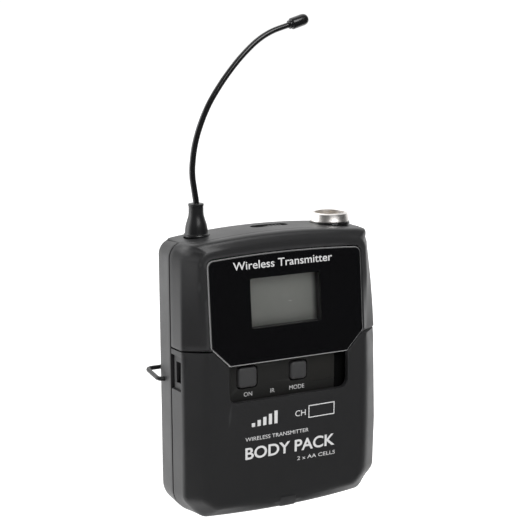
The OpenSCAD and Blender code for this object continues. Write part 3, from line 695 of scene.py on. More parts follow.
def dress(piece, material, body, slot, *nodes):
    """Gives a piece its finish, its body, its material slot and the nodes that it stands for."""
    piece.data.materials.clear()
    piece.data.materials.append(material)
    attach(piece, body)
    if nodes:
        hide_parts(*nodes)
    return piece


# ---------- housing pieces ----------


def make_rear_case():
    """Tub behind the seam: the outline carried back from a round lip, over a round edge, to a flat back."""
    lip = sizes().lip / MM
    edge = sizes().back_edge / MM
    seam = SEAM_BACK
    draft = 0.4
    inner_back = BACK_Y - WALL
    steps = [(WALL + 2.4, inner_back), (WALL + 0.9, inner_back - 0.15), (WALL + 0.2, inner_back - 0.9),
             (WALL, inner_back - 2), (WALL, seam + 0.1), (WALL - 0.1, seam)]
    steps += [(i, seam + d) for i, d in fillet(lip, 5)]
    steps += [(draft * t, blend(seam + lip, BACK_Y - edge, t)) for t in np.linspace(0, 1, 7)[1:]]
    steps += [(draft + edge * (1 - math.cos(t)), BACK_Y - edge * (1 - math.sin(t)))
              for t in np.linspace(0, math.pi / 2, 8)[1:]]
    rings = [np.column_stack([o[:, 0], np.full(len(o), y), o[:, 1]])
             for o, y in ((outline(i), y) for i, y in steps)]
    piece = ring_stack("rear_case", rings)
    plate_low = TOP_Z - 4.2
    hole_x = REAR[1][0] - 5.2
    plate_hole = PLATE_HALF_W + FIT
    cuts = [cutter([-plate_hole, FRONT_Y, plate_low], [plate_hole, BACK_Y - 1.38, TOP_Z + 1]),
            drill([SOCKET_X, FITTING_Y, TOP_Z - 1.5], COLLAR[1][0] - SOCKET_X + FIT, 3)]
    for x in (-hole_x, hole_x):
        for z in (SPLIT_Z + 5.4, SPLIT_Z + 15.4):
            cuts.append(drill([x, BACK_Y - 0.35, z], SCREW_HOLE_R, 1.35, "y", 32))
    pivot = clip_pivot()
    for side in (-1, 1):
        cuts.append(drill([side * HALF_W, *pivot], PIVOT_R, 4, "x", 32))
    carve(piece, cuts)
    return dress(piece, finish("case"), "pack", "case_plastic", "rear_shell")


def table(z, rows):
    """Values at z read between the given (z, a, b) rows."""
    rows = np.asarray(rows, float)
    return np.interp(z, rows[:, 0], rows[:, 1]), np.interp(z, rows[:, 0], rows[:, 2])


def lens_corner():
    """Half width, corner radius and top of the opening round the lens."""
    return LENS_HALF_W + 0.4, 2.6, LENS[1][2] + 0.3


def make_upper_case():
    """Front shell over the split: each column runs from the seam over the shoulder to the lens opening."""
    corner_z = corner_centre_z()
    r = sizes().top_corner / MM
    w, lr, lens_top = lens_corner()
    step_angle = math.acos((PLATE_HALF_W + FIT - (HALF_W - r)) / r)
    plate_y = PLATE_FRONT_Y - FIT
    # top middle to the corner
    x = np.linspace(0, HALF_W - r + r * math.cos(arch_angle()), 24)
    top_o = np.column_stack([x, top_at(x)])
    angles = np.concatenate([np.linspace(arch_angle(), step_angle, 5)[1:], np.linspace(step_angle, 0, 12)])
    normal = np.column_stack([np.cos(angles), np.sin(angles)])
    corner_o = np.array([HALF_W - r, corner_z]) + r * normal
    zs = np.linspace(corner_z, SPLIT_Z + SPLIT_GAP, 26)[1:]
    side_o = np.column_stack([np.full(len(zs), HALF_W), zs])
    o = np.vstack([top_o, corner_o, side_o])
    n_top, n_corner = len(top_o), len(corner_o)
    inward = np.vstack([np.tile([0.0, 1.0], (n_top, 1)), normal, np.tile([1.0, 0.0], (len(zs), 1))])
    turned_part = (arch_angle() - angles) / arch_angle()
    share = np.concatenate([np.zeros(n_top), smooth_step(turned_part), np.ones(len(zs))])
    tuck = np.concatenate([np.zeros(n_top), np.sin(np.pi * turned_part) ** 2, np.zeros(len(zs))])
    z = np.minimum(o[:, 1], corner_z)
    edge_x, edge_y = table(z, [(SPLIT_Z, 33.2, -5.3), (60, 32.9, -4.8), (67, 32.6, -4.1),
                               (78.5, 31.8, -2.8)])
    crease_x, crease_y = table(z, [(SPLIT_Z, 28.25, -8.5), (70, 28.6, -8.3), (78.5, 28.3, -8.0)])
    edge_in = blend(0.15, HALF_W - edge_x, share) + 1.3 * tuck
    top_edge_y = -7.9 + 2.0 * (o[:, 0] / 30) ** 6
    top_crease_y = -8.5 + 0.15 * (o[:, 0] / 29) ** 2
    a_y = np.interp(o[:, 0], [PLATE_HALF_W - PLATE_TAPER, PLATE_HALF_W], [plate_y, SEAM_FRONT])
    start = np.column_stack([o[:, 0], a_y, o[:, 1]])
    edge_o = o - edge_in[:, None] * inward
    edge = np.column_stack([edge_o[:, 0], blend(top_edge_y, edge_y, share), edge_o[:, 1]])
    crease_r, crease_low = 4.0, 2.9
    cx = crease_x[n_top] - crease_r
    cz = float(top_at(cx)) - crease_low - crease_r
    x_end = cx + crease_r * math.cos(arch_angle())
    tx = np.linspace(0, x_end, n_top)
    crease_xz = np.vstack([
        np.column_stack([tx, top_at(tx) - crease_low]),
        np.array([cx, cz]) + crease_r * normal,
        np.column_stack([crease_x[n_top + n_corner:],
                         cz + (zs - corner_z) * (cz - SPLIT_Z) / (corner_z - SPLIT_Z)])])
    crease = np.column_stack([crease_xz[:, 0], blend(top_crease_y, crease_y, share), crease_xz[:, 1]])
    # lens opening
    lx = np.linspace(0, w - lr, n_top)
    top_l = np.column_stack([lx, lens_top - 0.8 * (lx / w) ** 2])
    la = np.linspace(np.pi / 2, 0, n_corner + 1)[1:]
    low_of_corner = lens_top - 0.8 * ((w - lr) / w) ** 2 - lr
    corner_l = np.column_stack([w - lr + lr * np.cos(la), low_of_corner + lr * np.sin(la)])
    side_z = np.linspace(low_of_corner, SPLIT_Z + 0.9, len(zs))[1:]
    side_l = np.vstack([np.column_stack([np.full(len(side_z), w), side_z]),
                        [[w - 0.85, SPLIT_Z + SPLIT_GAP]]])
    opening = np.vstack([top_l, corner_l, side_l])
    rim = np.column_stack([opening[:, 0], lens_at(opening[:, 1]) + 0.05, opening[:, 1]])
    soft_edge = blend(2.4, 0.7, share)[:, None]
    rows = np.concatenate([
        start[None],
        blend(start, edge, 0.3)[None],
        bend(start, edge, crease, np.minimum(soft_edge, 0.5 * apart(start, edge)),
             np.minimum(soft_edge, 0.45 * apart(crease, edge)), 8),
        blend(edge, crease, 0.62)[None],
        bend(edge, crease, rim, 0.7, 0.7, 6),
        blend(crease, rim, np.array([0.5, 0.75, 1.0])[:, None, None]),
    ])
    piece = outward(put("upper_case", *skin(rows)), [0, 2, 60])
    thicken(piece, WALL, sizes().lip)
    return dress(piece, finish("case"), "pack", "case_plastic", "front_shell")


def door_opening(n_low, n_corner, n_side, n_cut):
    """Right half of the key recess in the door: bottom, round corner, side, cut corner up to the split."""
    half, low, r = recess_half_w(), PANEL[0][2] + 1.5, 2.5
    angle = np.linspace(-np.pi / 2, 0, n_corner + 1)[1:]
    knee_z = LENS_Z - 0.15
    end = [LENS_HALF_W - 0.65, DOOR[1][2]]
    return np.vstack([
        np.column_stack([np.linspace(0, half - r, n_low), np.full(n_low, low)]),
        np.column_stack([half - r + r * np.cos(angle), low + r + r * np.sin(angle)]),
        np.column_stack([np.full(n_side, half), np.linspace(low + r, knee_z, n_side + 1)[1:]]),
        blend(np.array([half, knee_z]), np.array(end), np.linspace(0, 1, n_cut + 1)[1:, None]),
    ])


def on_front(flat):
    """Lays (x, z) points on the front face."""
    return np.column_stack([flat[:, 0], front_at(flat[:, 0], flat[:, 1]), flat[:, 1]])


def door_loop(low, side, radius, n_low, angle, zs):
    """Right half of a loop inside the door's outline: low above its bottom, side in from its side."""
    low_r, top = sizes().low_corner / MM, DOOR[1][2]
    x, z = HALF_W - side - radius, low + radius
    return np.vstack([
        np.column_stack([np.linspace(0, x, n_low), np.full(n_low, low)]),
        np.array([x, z]) + radius * np.column_stack([np.cos(angle), np.sin(angle)]),
        np.column_stack([np.full(len(zs), HALF_W - side), z + (zs - low_r) * (top - z) / (top - low_r)]),
    ])


def recess_half_w():
    """Half width of the key recess."""
    return PANEL[1][0] - 2.4


def pocket_box():
    """Middle height, half height, front, and slot sizes of the latch pocket in the door's side."""
    low, high = span("latch_right")
    return (low[2] + high[2]) / 2, 5.0, (low[1] + high[1]) / 2 - 2.5, (low[1] + high[1]) / 2


def make_door_cover():
    """Battery door: each column runs from the seam over the shoulder and up the face to the key recess."""
    low_r = sizes().low_corner / MM
    mid_z, half_h, pocket_front, slot_y = pocket_box()
    ramp = 0.35
    shape = np.linspace(0, 1, 6)
    x = np.linspace(0, HALF_W - low_r, 20)
    angle = np.radians(np.linspace(-90, 0, 16))[1:]
    normal = np.column_stack([np.cos(angle), np.sin(angle)])
    door_top = DOOR[1][2] - SPLIT_GAP
    knee = 32.4
    slot_half = 3.2
    marks = [mid_z - half_h - ramp * (1 - t) for t in shape]
    marks += [mid_z - slot_half - 0.06, mid_z - slot_half, mid_z, mid_z + slot_half,
              mid_z + slot_half + 0.06]
    marks += [mid_z + half_h + ramp * t for t in shape]
    low_zs = np.linspace(low_r, knee, 14)[1:]
    high_zs = np.array(sorted([35.0, 37.4, *marks, 51.0, door_top]))
    n_low, n_corner, n_side, n_cut = len(x), len(angle), len(low_zs), len(high_zs)
    zs = np.concatenate([low_zs, high_zs])
    o = np.vstack([np.column_stack([x, 0 * x]),
                   np.array([HALF_W - low_r, low_r]) + low_r * normal,
                   np.column_stack([np.full(len(zs), HALF_W), zs])])
    inward = np.vstack([np.tile([0.0, -1.0], (n_low, 1)), normal, np.tile([1.0, 0.0], (len(zs), 1))])
    turned_part = (angle + np.pi / 2) / (np.pi / 2)
    share = np.concatenate([np.zeros(n_low), smooth_step(turned_part), np.ones(len(zs))])
    edge_x, edge_y = table(o[:, 1], [(low_r, 33.2, -5.4), (23, 33.3, -6.0), (41, 33.1, -5.6),
                                     (door_top, 33.0, -5.1)])
    bottom_y = -8.9 + 2.7 * (np.minimum(o[:, 0], HALF_W - low_r) / (HALF_W - low_r)) ** 2
    tuck = np.concatenate([np.zeros(n_low), np.sin(2 * angle) ** 2, np.zeros(len(zs))])
    edge_in = blend(0.12, HALF_W - edge_x, share) + 1.2 * tuck
    start = np.column_stack([o[:, 0], np.full(len(o), SEAM_FRONT), o[:, 1]])
    edge_o = o - edge_in[:, None] * inward
    edge = np.column_stack([edge_o[:, 0], blend(bottom_y, edge_y, share) + 0.6 * tuck, edge_o[:, 1]])
    crease = on_front(door_loop(3.2, 6.4, 5.5, n_low, angle, zs))
    rim = on_front(door_opening(n_low, n_corner, n_side, n_cut))
    near_top = smooth_step((crease[:, 2] - 36) / 8)[:, None]
    field = blend(on_front(door_loop(6.0, 9.0, 4.0, n_low, angle, zs)), blend(crease, rim, 0.45), near_top)
    # wall from the seam to the shoulder, with rows where the pocket and its slot begin and end
    wall_end = blend(edge[:, 1] + 1.2, pocket_front - ramp, share)
    wall_y = np.array([SEAM_FRONT, SEAM_Y - 0.7, slot_y + 1.5, slot_y + 1.44, slot_y - 1.5, slot_y - 1.56,
                       *[pocket_front - ramp * t for t in shape]])
    part = (wall_y[0] - wall_y) / (wall_y[0] - wall_y[-1])
    ahead = blend(start[:, 1], wall_end, part[:, None])
    drop = (wall_y[0] - ahead) / (wall_y[0] - edge[:, 1])
    wall_rows = blend(start, edge, drop[..., None])
    wall_rows[..., 1] = ahead
    z_mark = smooth_step((half_h + ramp - np.abs(o[:, 1] - mid_z)) / ramp)
    y_mark = smooth_step((wall_y - (pocket_front - ramp)) / ramp)
    sink = 0.9 * z_mark * y_mark[:, None] * (o[:, 0] > HALF_W - 0.01)
    wall_rows[..., 0] -= sink
    wall_reach = np.minimum(0.9, apart(wall_rows[-1], edge))
    shoulder = bend(wall_rows[-1], edge, crease, wall_reach * 0.95, blend(1.8, 1.0, share)[:, None], 7)
    face_part = np.linspace(0, 1, 14)[1:, None, None]
    soft = bend(edge, crease, field, blend(1.5, 2.6, share)[:, None],
                np.minimum(2.4, 0.85 * apart(field, crease)), 9)
    soft = np.concatenate([soft, field[None]])
    face = blend(field, rim, face_part)
    face[..., 1] = front_at(face[..., 0], face[..., 2])
    settle = np.append(np.linspace(0, 1, len(soft) - 1), 1.0)[:, None]
    soft[..., 1] = blend(soft[..., 1], front_at(soft[..., 0], soft[..., 2]), settle**3)
    rows = np.concatenate([wall_rows, shoulder, soft, face])
    points, faces = skin(rows)
    middle = points[faces].mean(1)
    in_slot = ((np.abs(middle[:, 0]) > HALF_W - 3) & (np.abs(middle[:, 2] - mid_z) < slot_half)
               & (np.abs(middle[:, 1] - slot_y) < 1.47))
    piece = outward(put("door_cover", points, faces[~in_slot]), [0, 2, 26])
    thicken(piece, WALL, sizes().lip)
    lug = hinge_place()
    cuts = [cutter([s * lug[0] - 2.8, lug[1] - 2.2, -1], [s * lug[0] + 2.8, SEAM_Y + 1, lug[2] + 2.4])
            for s in (-1, 1)]
    carve(piece, cuts, 50.0)
    return dress(piece, finish("case"), "door", "case_plastic", "battery_door")


def hinge_place():
    """Middle of the right hinge: distance from the middle, depth and height of its axis."""
    low, high = span("hinge_pins")
    return HINGE_X, (low[1] + high[1]) / 2, (low[2] + high[2]) / 2


def make_hinge():
    """Knuckles of the door and the lugs of the rear shell, turned about the hinge axis."""
    x, y, z = hinge_place()
    r, bore = HINGE_R, PIVOT_R
    for side in (-1, 1):
        tag = "left" if side < 0 else "right"
        spots = {"inner": (x - 7, x - 2.8), "outer": (x + 2.8, x + 7)}
        for where, (x0, x1) in spots.items():
            length = x1 - x0
            profile = [(bore, 0), (r - 0.15, 0), (r, 0.15), (r, length - 0.15), (r - 0.15, length),
                       (bore, length)]
            low = side * x0 if side > 0 else -x1
            ring = turned(f"hinge_knuckle_{tag}_{where}", profile, [low, y, z], "x", 40, 40.0)
            dress(ring, finish("case"), "door", "case_plastic")
        profile = [(0.705, 0), (r - 0.15, 0), (r, 0.15), (r, 4.85), (r - 0.15, 5.0), (0.705, 5.0)]
        lug = turned(f"hinge_lug_{tag}", profile, [side * x - 2.5, y, z], "x", 40, 40.0)
        dress(lug, finish("case"), "pack", "case_plastic")


def make_top_panel():
    """Arched plate in the top: height follows the housing's outline, with holes for the fittings."""
    r = sizes().top_corner / MM
    ys = np.concatenate([np.linspace(PLATE_FRONT_Y, SEAM_Y, 8), np.linspace(SEAM_Y, BACK_Y - 1.5, 9)[1:]])
    half = np.interp(ys, [PLATE_FRONT_Y, SEAM_Y], [PLATE_HALF_W - PLATE_TAPER - 0.15, PLATE_HALF_W])
    xs = half[:, None] * np.linspace(-1, 1, 61)
    flat = np.abs(xs)
    past = flat > HALF_W - r + r * math.cos(arch_angle())
    round_z = corner_centre_z() + np.sqrt(np.maximum(r**2 - (flat - (HALF_W - r)) ** 2, 0))
    z = np.where(past, round_z, top_at(flat))
    grid = np.stack([xs, np.tile(ys[:, None], (1, 61)), z], -1)
    piece = outward(put("top_panel", grid.reshape(-1, 3), quads(len(ys), 61)), [0, 0, 60])
    thicken(piece, 1.8, sizes().lip)
    cuts = [drill([SOCKET_X, FITTING_Y, TOP_Z], COLLAR[1][0] - SOCKET_X + FIT, 5),
            drill([ANTENNA_X, FITTING_Y, TOP_Z], BOOT_FOOT + 0.1, 5),
            stadium_cutter([1.0, FITTING_Y], 6.3, 1.8, TOP_Z - 5, TOP_Z + 2)]
    carve(piece, cuts, 50.0)
    return dress(piece, finish("case"), "pack", "case_plastic", "top_plate")


# ---------- display and keys ----------


def on_lens(x, up, depth):
    """Places points given across and up the lens, depth behind its face."""
    x, up = np.broadcast_arrays(np.asarray(x, float), np.asarray(up, float))
    y = FRONT_Y + up * math.sin(LEAN) + depth * math.cos(LEAN)
    z = LENS_Z + up * math.cos(LEAN) - depth * math.sin(LEAN)
    return np.stack([x, y, z], -1)


def lens_loop():
    """Outline of the lens in its own plane: cut lower corners, round upper ones, arched top."""
    w, low_w = LENS_HALF_W, recess_half_w() - 0.3
    height = (LENS[1][2] - LENS_Z) / math.cos(LEAN) - 0.02
    cut = SPLIT_Z + 0.9 - LENS_Z
    r = 2.2
    shoulder = height - 0.8
    angle = np.linspace(0, np.pi / 2, 9)
    arch = np.linspace(w - r, 0, 12)[1:]
    right = np.vstack([
        np.column_stack([np.linspace(0, low_w, 16), np.zeros(16)]),
        blend(np.array([low_w, 0.0]), np.array([w, cut]), np.linspace(0, 1, 7)[1:, None]),
        np.column_stack([np.full(14, w), np.linspace(cut, shoulder - r, 15)[1:]]),
        np.column_stack([w - r + r * np.cos(angle), shoulder - r + r * np.sin(angle)])[1:],
        np.column_stack([arch, height - 0.8 * (arch / (w - r)) ** 2]),
    ])
    return np.vstack([right, (right * [-1, 1])[-2:0:-1]])


def inset_loop(loop, inset):
    """Moves each point of a closed outline inwards, square to the line of its neighbours."""
    ahead, behind = np.roll(loop, -1, 0), np.roll(loop, 1, 0)
    a, b = loop - behind, ahead - loop
    a = a / np.linalg.norm(a, axis=1, keepdims=True)
    b = b / np.linalg.norm(b, axis=1, keepdims=True)
    normal = np.column_stack([-(a + b)[:, 1], (a + b)[:, 0]])
    normal /= np.linalg.norm(normal, axis=1, keepdims=True)
    stretch = 1 / np.maximum((normal * np.column_stack([-a[:, 1], a[:, 0]])).sum(1, keepdims=True), 0.5)
    return loop + normal * inset * stretch


def window_box():
    """Left, right, bottom and top of the display window in the lens's plane."""
    margin = 2.2
    left, right = GLASS[0][0] + margin, GLASS[1][0] - margin
    return left, right, 10.6, 10.6 + 14.8


def window_loop(loop):
    """Points of the display window's outline, seen from its middle in the same directions as the lens's."""
    left, right, low, high = window_box()
    middle = np.array([(left + right) / 2, (low + high) / 2])
    half = np.array([(right - left) / 2, (high - low) / 2])
    ray = loop - middle
    reach = np.min(half / np.maximum(np.abs(ray), 1e-6), axis=1)
    return middle + ray * reach[:, None]


def make_lens():
    """Black lens: its outline chamfered at the face, round a rectangular window."""
    loop = lens_loop()
    window = window_loop(loop)
    thick, bevel = 1.2, 0.4
    levels = [(window, thick), (window, 0.12), (blend(window, inset_loop(loop, bevel), 0.012), 0.0),
              (blend(window, inset_loop(loop, bevel), 0.5), 0.0), (inset_loop(loop, bevel), 0.0),
              (inset_loop(loop, 0.04), bevel * 0.8), (loop, bevel), (loop, thick)]
    piece = torus_stack("lens_face", [on_lens(l[:, 0], l[:, 1], d) for l, d in levels])
    piece.data.set_sharp_from_angle(angle=math.radians(25))
    # rings of the chamfered rim, marked for the lens's painted highlight
    rim_highlight = piece.data.attributes.new("rim_highlight", "FLOAT", "POINT")
    rim_highlight.data.foreach_set("value", np.repeat([0.0, 0, 0, 0, 0, 1, 1, 0], len(loop)))
    dress(piece, lens_finish(), "pack", "lens_gloss", "display_lens")
    left, right, low, high = window_box()
    across, up = (left + right) / 2, (low + high) / 2
    half_w, half_h = (right - left) / 2 - 0.02, (high - low) / 2 - 0.02
    rings = [on_lens(o[:, 0] + across, o[:, 1] + up, d) for o, d in
             ((rounded_rectangle(half_w, half_h, 0.2, i), d) for i, d in
              ((0.1, 0.12), (0.0, 0.2), (0.0, 1.0), (0.1, 1.1)))]
    pane = ring_stack("window_pane", rings)
    dress(pane, finish("pane"), "pack", "lens_gloss")
    # black tunnel from the lens back to the liquid crystal cell
    deep = 2.95
    rings = [on_lens(o[:, 0] + across, o[:, 1] + up, d) for o, d in
             ((rounded_rectangle(half_w, half_h, 0.2, i), d) for i, d in
              ((0.0, 1.22), (0.0, deep), (-1.2, deep), (-1.2, 1.22)))]
    tunnel = torus_stack("window_surround", rings)
    tunnel.data.set_sharp_from_angle(angle=math.radians(40))
    dress(tunnel, finish("inner"), "pack", "inner_plastic")


def make_keys():
    """Keys: rounded squares with a faintly crowned face, a soft edge, a straight side and a flange."""
    for node, body in (("on_key", "on_key"), ("mode_key", "mode_key")):
        low, high = span(node)
        flange = 0.9
        centre = ((low[0] + high[0]) / 2, (low[2] + high[2]) / 2)
        half = (high[0] - low[0]) / 2 - flange
        front, back = low[1], high[1]
        steps = [(i, front + d) for i, d in (
            (half - 0.3, 0), (half * 0.6, 0.02), (half * 0.36, 0.07), (0.56, 0.16), (0.3, 0.28),
            (0.1, 0.5), (0.0, 0.8))]
        steps += [(0.0, back - 1.0), (-flange, back - 0.98), (-flange, back)]
        key = block(f"{node}_cap", centre, half, half, 1.25, steps)
        dress(key, finish("key"), body, "key_plastic", node)


def make_key_panel():
    """Panel behind the recess: a raised field with round-edged holes for the keys and a lower dark end."""
    low, high = PANEL
    centre = ((low[0] + high[0]) / 2, (low[2] + high[2]) / 2)
    half_h = (high[2] - low[2]) / 2
    front, back = low[1], high[1]
    step_x = recess_half_w() - 3.3
    half_w = (step_x - low[0]) / 2
    field = block("key_field", ((step_x + low[0]) / 2, centre[1]), half_w, half_h, 1.2,
                  [(i, front + d) for i, d in ((0.3, 0), (0.1, 0.06), (0.0, 0.25))] + [(0, back)])
    cuts = []
    for node in ("on_key", "mode_key"):
        k_low, k_high = span(node)
        half = (k_high[0] - k_low[0]) / 2 - 0.9 + 0.4
        o = rounded_rectangle(half, half, 1.4)
        x, z = (k_low[0] + k_high[0]) / 2, (k_low[2] + k_high[2]) / 2
        cuts.append(ring_stack("cut", [np.column_stack([o[:, 0] + x, np.full(len(o), y), o[:, 1] + z])
                                       for y in (front - 1, back + 1)]))
    ir_low, ir_high = span("ir_window")
    cuts.append(cutter([ir_low[0] - 0.02, front - 1, ir_low[2] - 0.02],
                       [step_x + 1, front + 0.9, ir_high[2] + 0.02]))
    carve(field, cuts, 40.0)
    dress(field, finish("field"), "pack", "inner_plastic", "key_panel")
    # painted shade: the panel's right end is near black where the recess's side throws shade
    end = block("key_field_painted_shade", ((step_x + high[0]) / 2 + 0.05, centre[1]), (high[0] - step_x) / 2 - 0.05,
                half_h, 0.3, [(0, back - 0.5), (0, back)])
    dress(end, finish("deep"), "pack", "inner_plastic")


# ---------- top fittings ----------


def make_socket():
    """Ring nut, barrel, collar, insert and pins, each a profile turned about the socket's axis."""
    at = [SOCKET_X, FITTING_Y, 0]
    r_nut = NUT[1][0] - SOCKET_X
    z0, z1 = NUT[0][2], NUT[1][2]
    bore = 4.6
    wall = BARREL[1][0] - SOCKET_X
    nut = [(wall + 0.01, z0), (r_nut - 0.2, z0), (r_nut, z0 + 0.15), (r_nut, z0 + 0.4),
           (r_nut - 0.1, z0 + 0.58), (wall + 0.3, z1 - 0.22), (wall + 0.14, z1 - 0.06), (wall + 0.01, z1)]
    piece = turned("socket_ring_nut", nut, at)
    dress(piece, finish("chrome"), "pack", "socket_chrome", "ring_nut")
    b0, b1 = BARREL[0][2], BARREL[1][2]
    barrel = [(bore, b0), (wall, b0)]
    barrel += [(r, b1 - d) for r, d in (
        (wall, 0.15), (wall - 0.12, 0), (bore + 0.14, 0), (bore + 0.02, 0.1), (bore, 0.3), (bore, 1.6),
        (bore + 0.16, 1.7), (bore + 0.16, 2.6), (bore, 2.7))]
    piece = turned("socket_barrel", barrel, at)
    dress(piece, finish("chrome"), "pack", "socket_chrome", "socket_shell")
    c0, c1 = COLLAR[0][2], COLLAR[1][2]
    r_collar = COLLAR[1][0] - SOCKET_X
    collar = [(wall + 0.06, c0), (r_collar, c0), (r_collar, c1 - 0.4), (r_collar - 0.12, c1 - 0.12),
              (r_collar - 0.35, c1), (wall + 0.06, c1)]
    piece = turned("socket_seat", collar, at)
    dress(piece, finish("jacket"), "pack", "collar_black", "socket_collar")


def make_antenna():
    """Rubber boot turned about its axis, whip swept along its bow and a bead on its end."""
    z0, z1 = BOOT[0][2], BOOT[1][2]
    top = z1
    r = BOOT_FOOT
    boot = [(0, z0), (r - 0.5, z0)]
    boot += [(x, top - d) for x, d in (
        (r - 0.5, 10.1), (r - 0.4, 9.95), (r - 0.12, 9.85), (r, 9.6), (r - 0.02, 9.3), (r - 0.2, 9.08),
        (3.72, 9.0), (3.5, 8.88), (3.43, 8.6), (3.4, 7.9), (3.24, 6.7), (3.0, 5.8), (2.74, 5.0), (2.5, 4.2),
        (2.32, 3.5), (2.24, 2.8), (2.22, 1.4), (2.22, 0.86), (2.14, 0.8), (2.14, 0.72), (2.3, 0.66),
        (2.34, 0.5), (2.34, 0.16), (2.2, 0), (1.2, 0), (1.02, 0.15), (0, 0.15))]
    piece = lathe("antenna_strain_relief", boot, [ANTENNA_X, FITTING_Y, 0], sides=72)
    piece.data.set_sharp_from_angle(angle=math.radians(38))
    dress(piece, finish("rubber"), "pack", "boot_rubber", "antenna_boot")
    route = [[0, 0], [0, 0.9], [-0.5, 4.2], [-1, 8], [-0.9, 12], [0, 17.5], [1.8, 23], [4.4, 28.5],
             [7.7, 33.5], [11.7, 38.5], [16, 43], [20.8, 47], [25.6, 49.6], [31.4, 51.4]]
    route = [[ANTENNA_X + a, FITTING_Y, top + b] for a, b in route]
    path = curve_through(route, 8)
    width = (WHIP[1][1] - WHIP[0][1]) / 2
    whip = swept("antenna_rod", path, np.linspace(width, width - 0.12, len(path)), 20)
    dress(whip, finish("jacket"), "pack", "whip_jacket", "antenna_whip")
    aim = path[-1] - path[-2]
    aim /= np.linalg.norm(aim)
    bead = np.array([(0.0, -0.02), (1.15, 0.0), (1.3, 0.1), (1.3, 0.62), (1.24, 0.74), (1.5, 0.84),
                     (1.7, 1.0), (1.75, 1.3), (1.75, 4.9), (1.68, 5.4), (1.5, 5.9), (1.2, 6.3),
                     (0.8, 6.55), (0.4, 6.66), (0, 6.69)])
    spine = path[-1] + bead[:, 1:] * aim
    side = np.array([0.0, 1.0, 0.0])
    third = np.cross(aim, side)
    angle = np.linspace(0, 2 * np.pi, 40, endpoint=False)
    rings = spine[:, None] + bead[:, :1, None] * (np.cos(angle)[None, :, None] * side
                                                  + np.sin(angle)[None, :, None] * third)
    tip = ring_stack("antenna_bead", rings)
    dress(tip, finish("jacket"), "pack", "whip_jacket", "antenna_tip")


def make_mute_slider():
    """Slider knob: a ribbed top over a straight stem, as a profile across carried along X."""
    low, high = span("mute_slider")
    half_l, half_w = (high[0] - low[0]) / 2 - 1.4, (high[1] - low[1]) / 2 - 0.85
    x, y = (low[0] + high[0]) / 2, (low[1] + high[1]) / 2
    along = np.linspace(-half_l, half_l, 61)
    rib = 0.32 * np.clip(np.cos((along / 1.25) * 2 * np.pi) * 1.6, -1, 1)
    top = high[2] - 0.42 + rib
    floor = low[2]
    across = np.array([-1, -1, -0.9, 0.9, 1, 1])
    drop = np.array([99, 0.2, 0, 0, 0.2, 99])
    z = np.maximum(top[:, None] - drop, floor)
    rings = np.stack([np.tile((x + along)[:, None], (1, 6)), np.tile(y + across * half_w, (61, 1)), z], -1)
    knob = ring_stack("mute_knob", rings)
    knob.data.set_sharp_from_angle(angle=math.radians(40))
    dress(knob, finish("key"), "mute_slider", "key_plastic", "mute_slider")


# ---------- clip, cells and springs ----------


def clip_pivot():
    """Depth and height of the clip's pivot."""
    return BACK_Y - 3.8, 41.0


def quarter_turn(corner, a, b, radius, steps=8):
    """Points of a quarter circle at a corner, from heading a into heading b."""
    t = np.linspace(0, np.pi / 2, steps)[:, None]
    a, b = np.asarray(a, float), np.asarray(b, float)
    return np.asarray(corner) - radius * a + radius * (np.sin(t) * a + (1 - np.cos(t)) * b)


def soft_bend(p, q, r, steps=6):
    """Curve from p to r, drawn towards q."""
    t = np.linspace(0, 1, steps)[:, None]
    p, q, r = (np.asarray(v, float) for v in (p, q, r))
    return (1 - t) ** 2 * p + 2 * t * (1 - t) * q + t**2 * r


def make_clip():
    """Wire clip: pivot pins, loops past the sides, a bar behind the back and a flared bow at the bottom."""
    y0, z0 = clip_pivot()
    side_x = HALF_W + 1.4
    leg_x, tail_z, rise, bend_r = 13.0, 9.0, 1.2, 1.5
    gap_y = CLIP[1][1] - WIRE_D / 2 + 0.05
    touch_y = BACK_Y + WIRE_D / 2 + 0.3
    left, down = np.array([-1.0, 0, 0]), np.array([0, 0, -1.0])
    back = np.array([0, gap_y - y0, rise])
    back /= np.linalg.norm(back)
    flare = np.array([0, 1, -2.6]) / math.hypot(1, 2.6)
    start = np.array([leg_x, touch_y + 1.2, tail_z + 3.4])
    entry = np.array([leg_x, (gap_y + touch_y) / 2, tail_z + 11])
    foot = start + 3.6 * flare
    half = np.vstack([
        [[HALF_W - 2.4, y0, z0], [HALF_W - 1.0, y0, z0]],
        quarter_turn([side_x, y0, z0], [1, 0, 0], back, bend_r),
        quarter_turn([side_x, gap_y, z0 + rise], back, left, bend_r),
        quarter_turn([leg_x, gap_y, z0 + rise], left, down, 2),
        soft_bend([leg_x, gap_y, tail_z + 17], [leg_x, gap_y, tail_z + 13.5], entry),
        soft_bend(entry + 0.5 * np.array([0, -2, -3]) / math.hypot(2, 3),
                  [leg_x, touch_y, tail_z + 6.5], start),
        quarter_turn(foot, flare, left, 3),
        [[0, foot[1], foot[2]]],
    ])
    path = np.vstack([half, (half * [-1, 1, 1])[-2::-1]])
    clip = swept("wire_clip", path, WIRE_D / 2 - 0.01, 18, hint=(0, 0, 1))
    dress(clip, finish("wire"), "belt_clip", "clip_wire", "belt_clip")


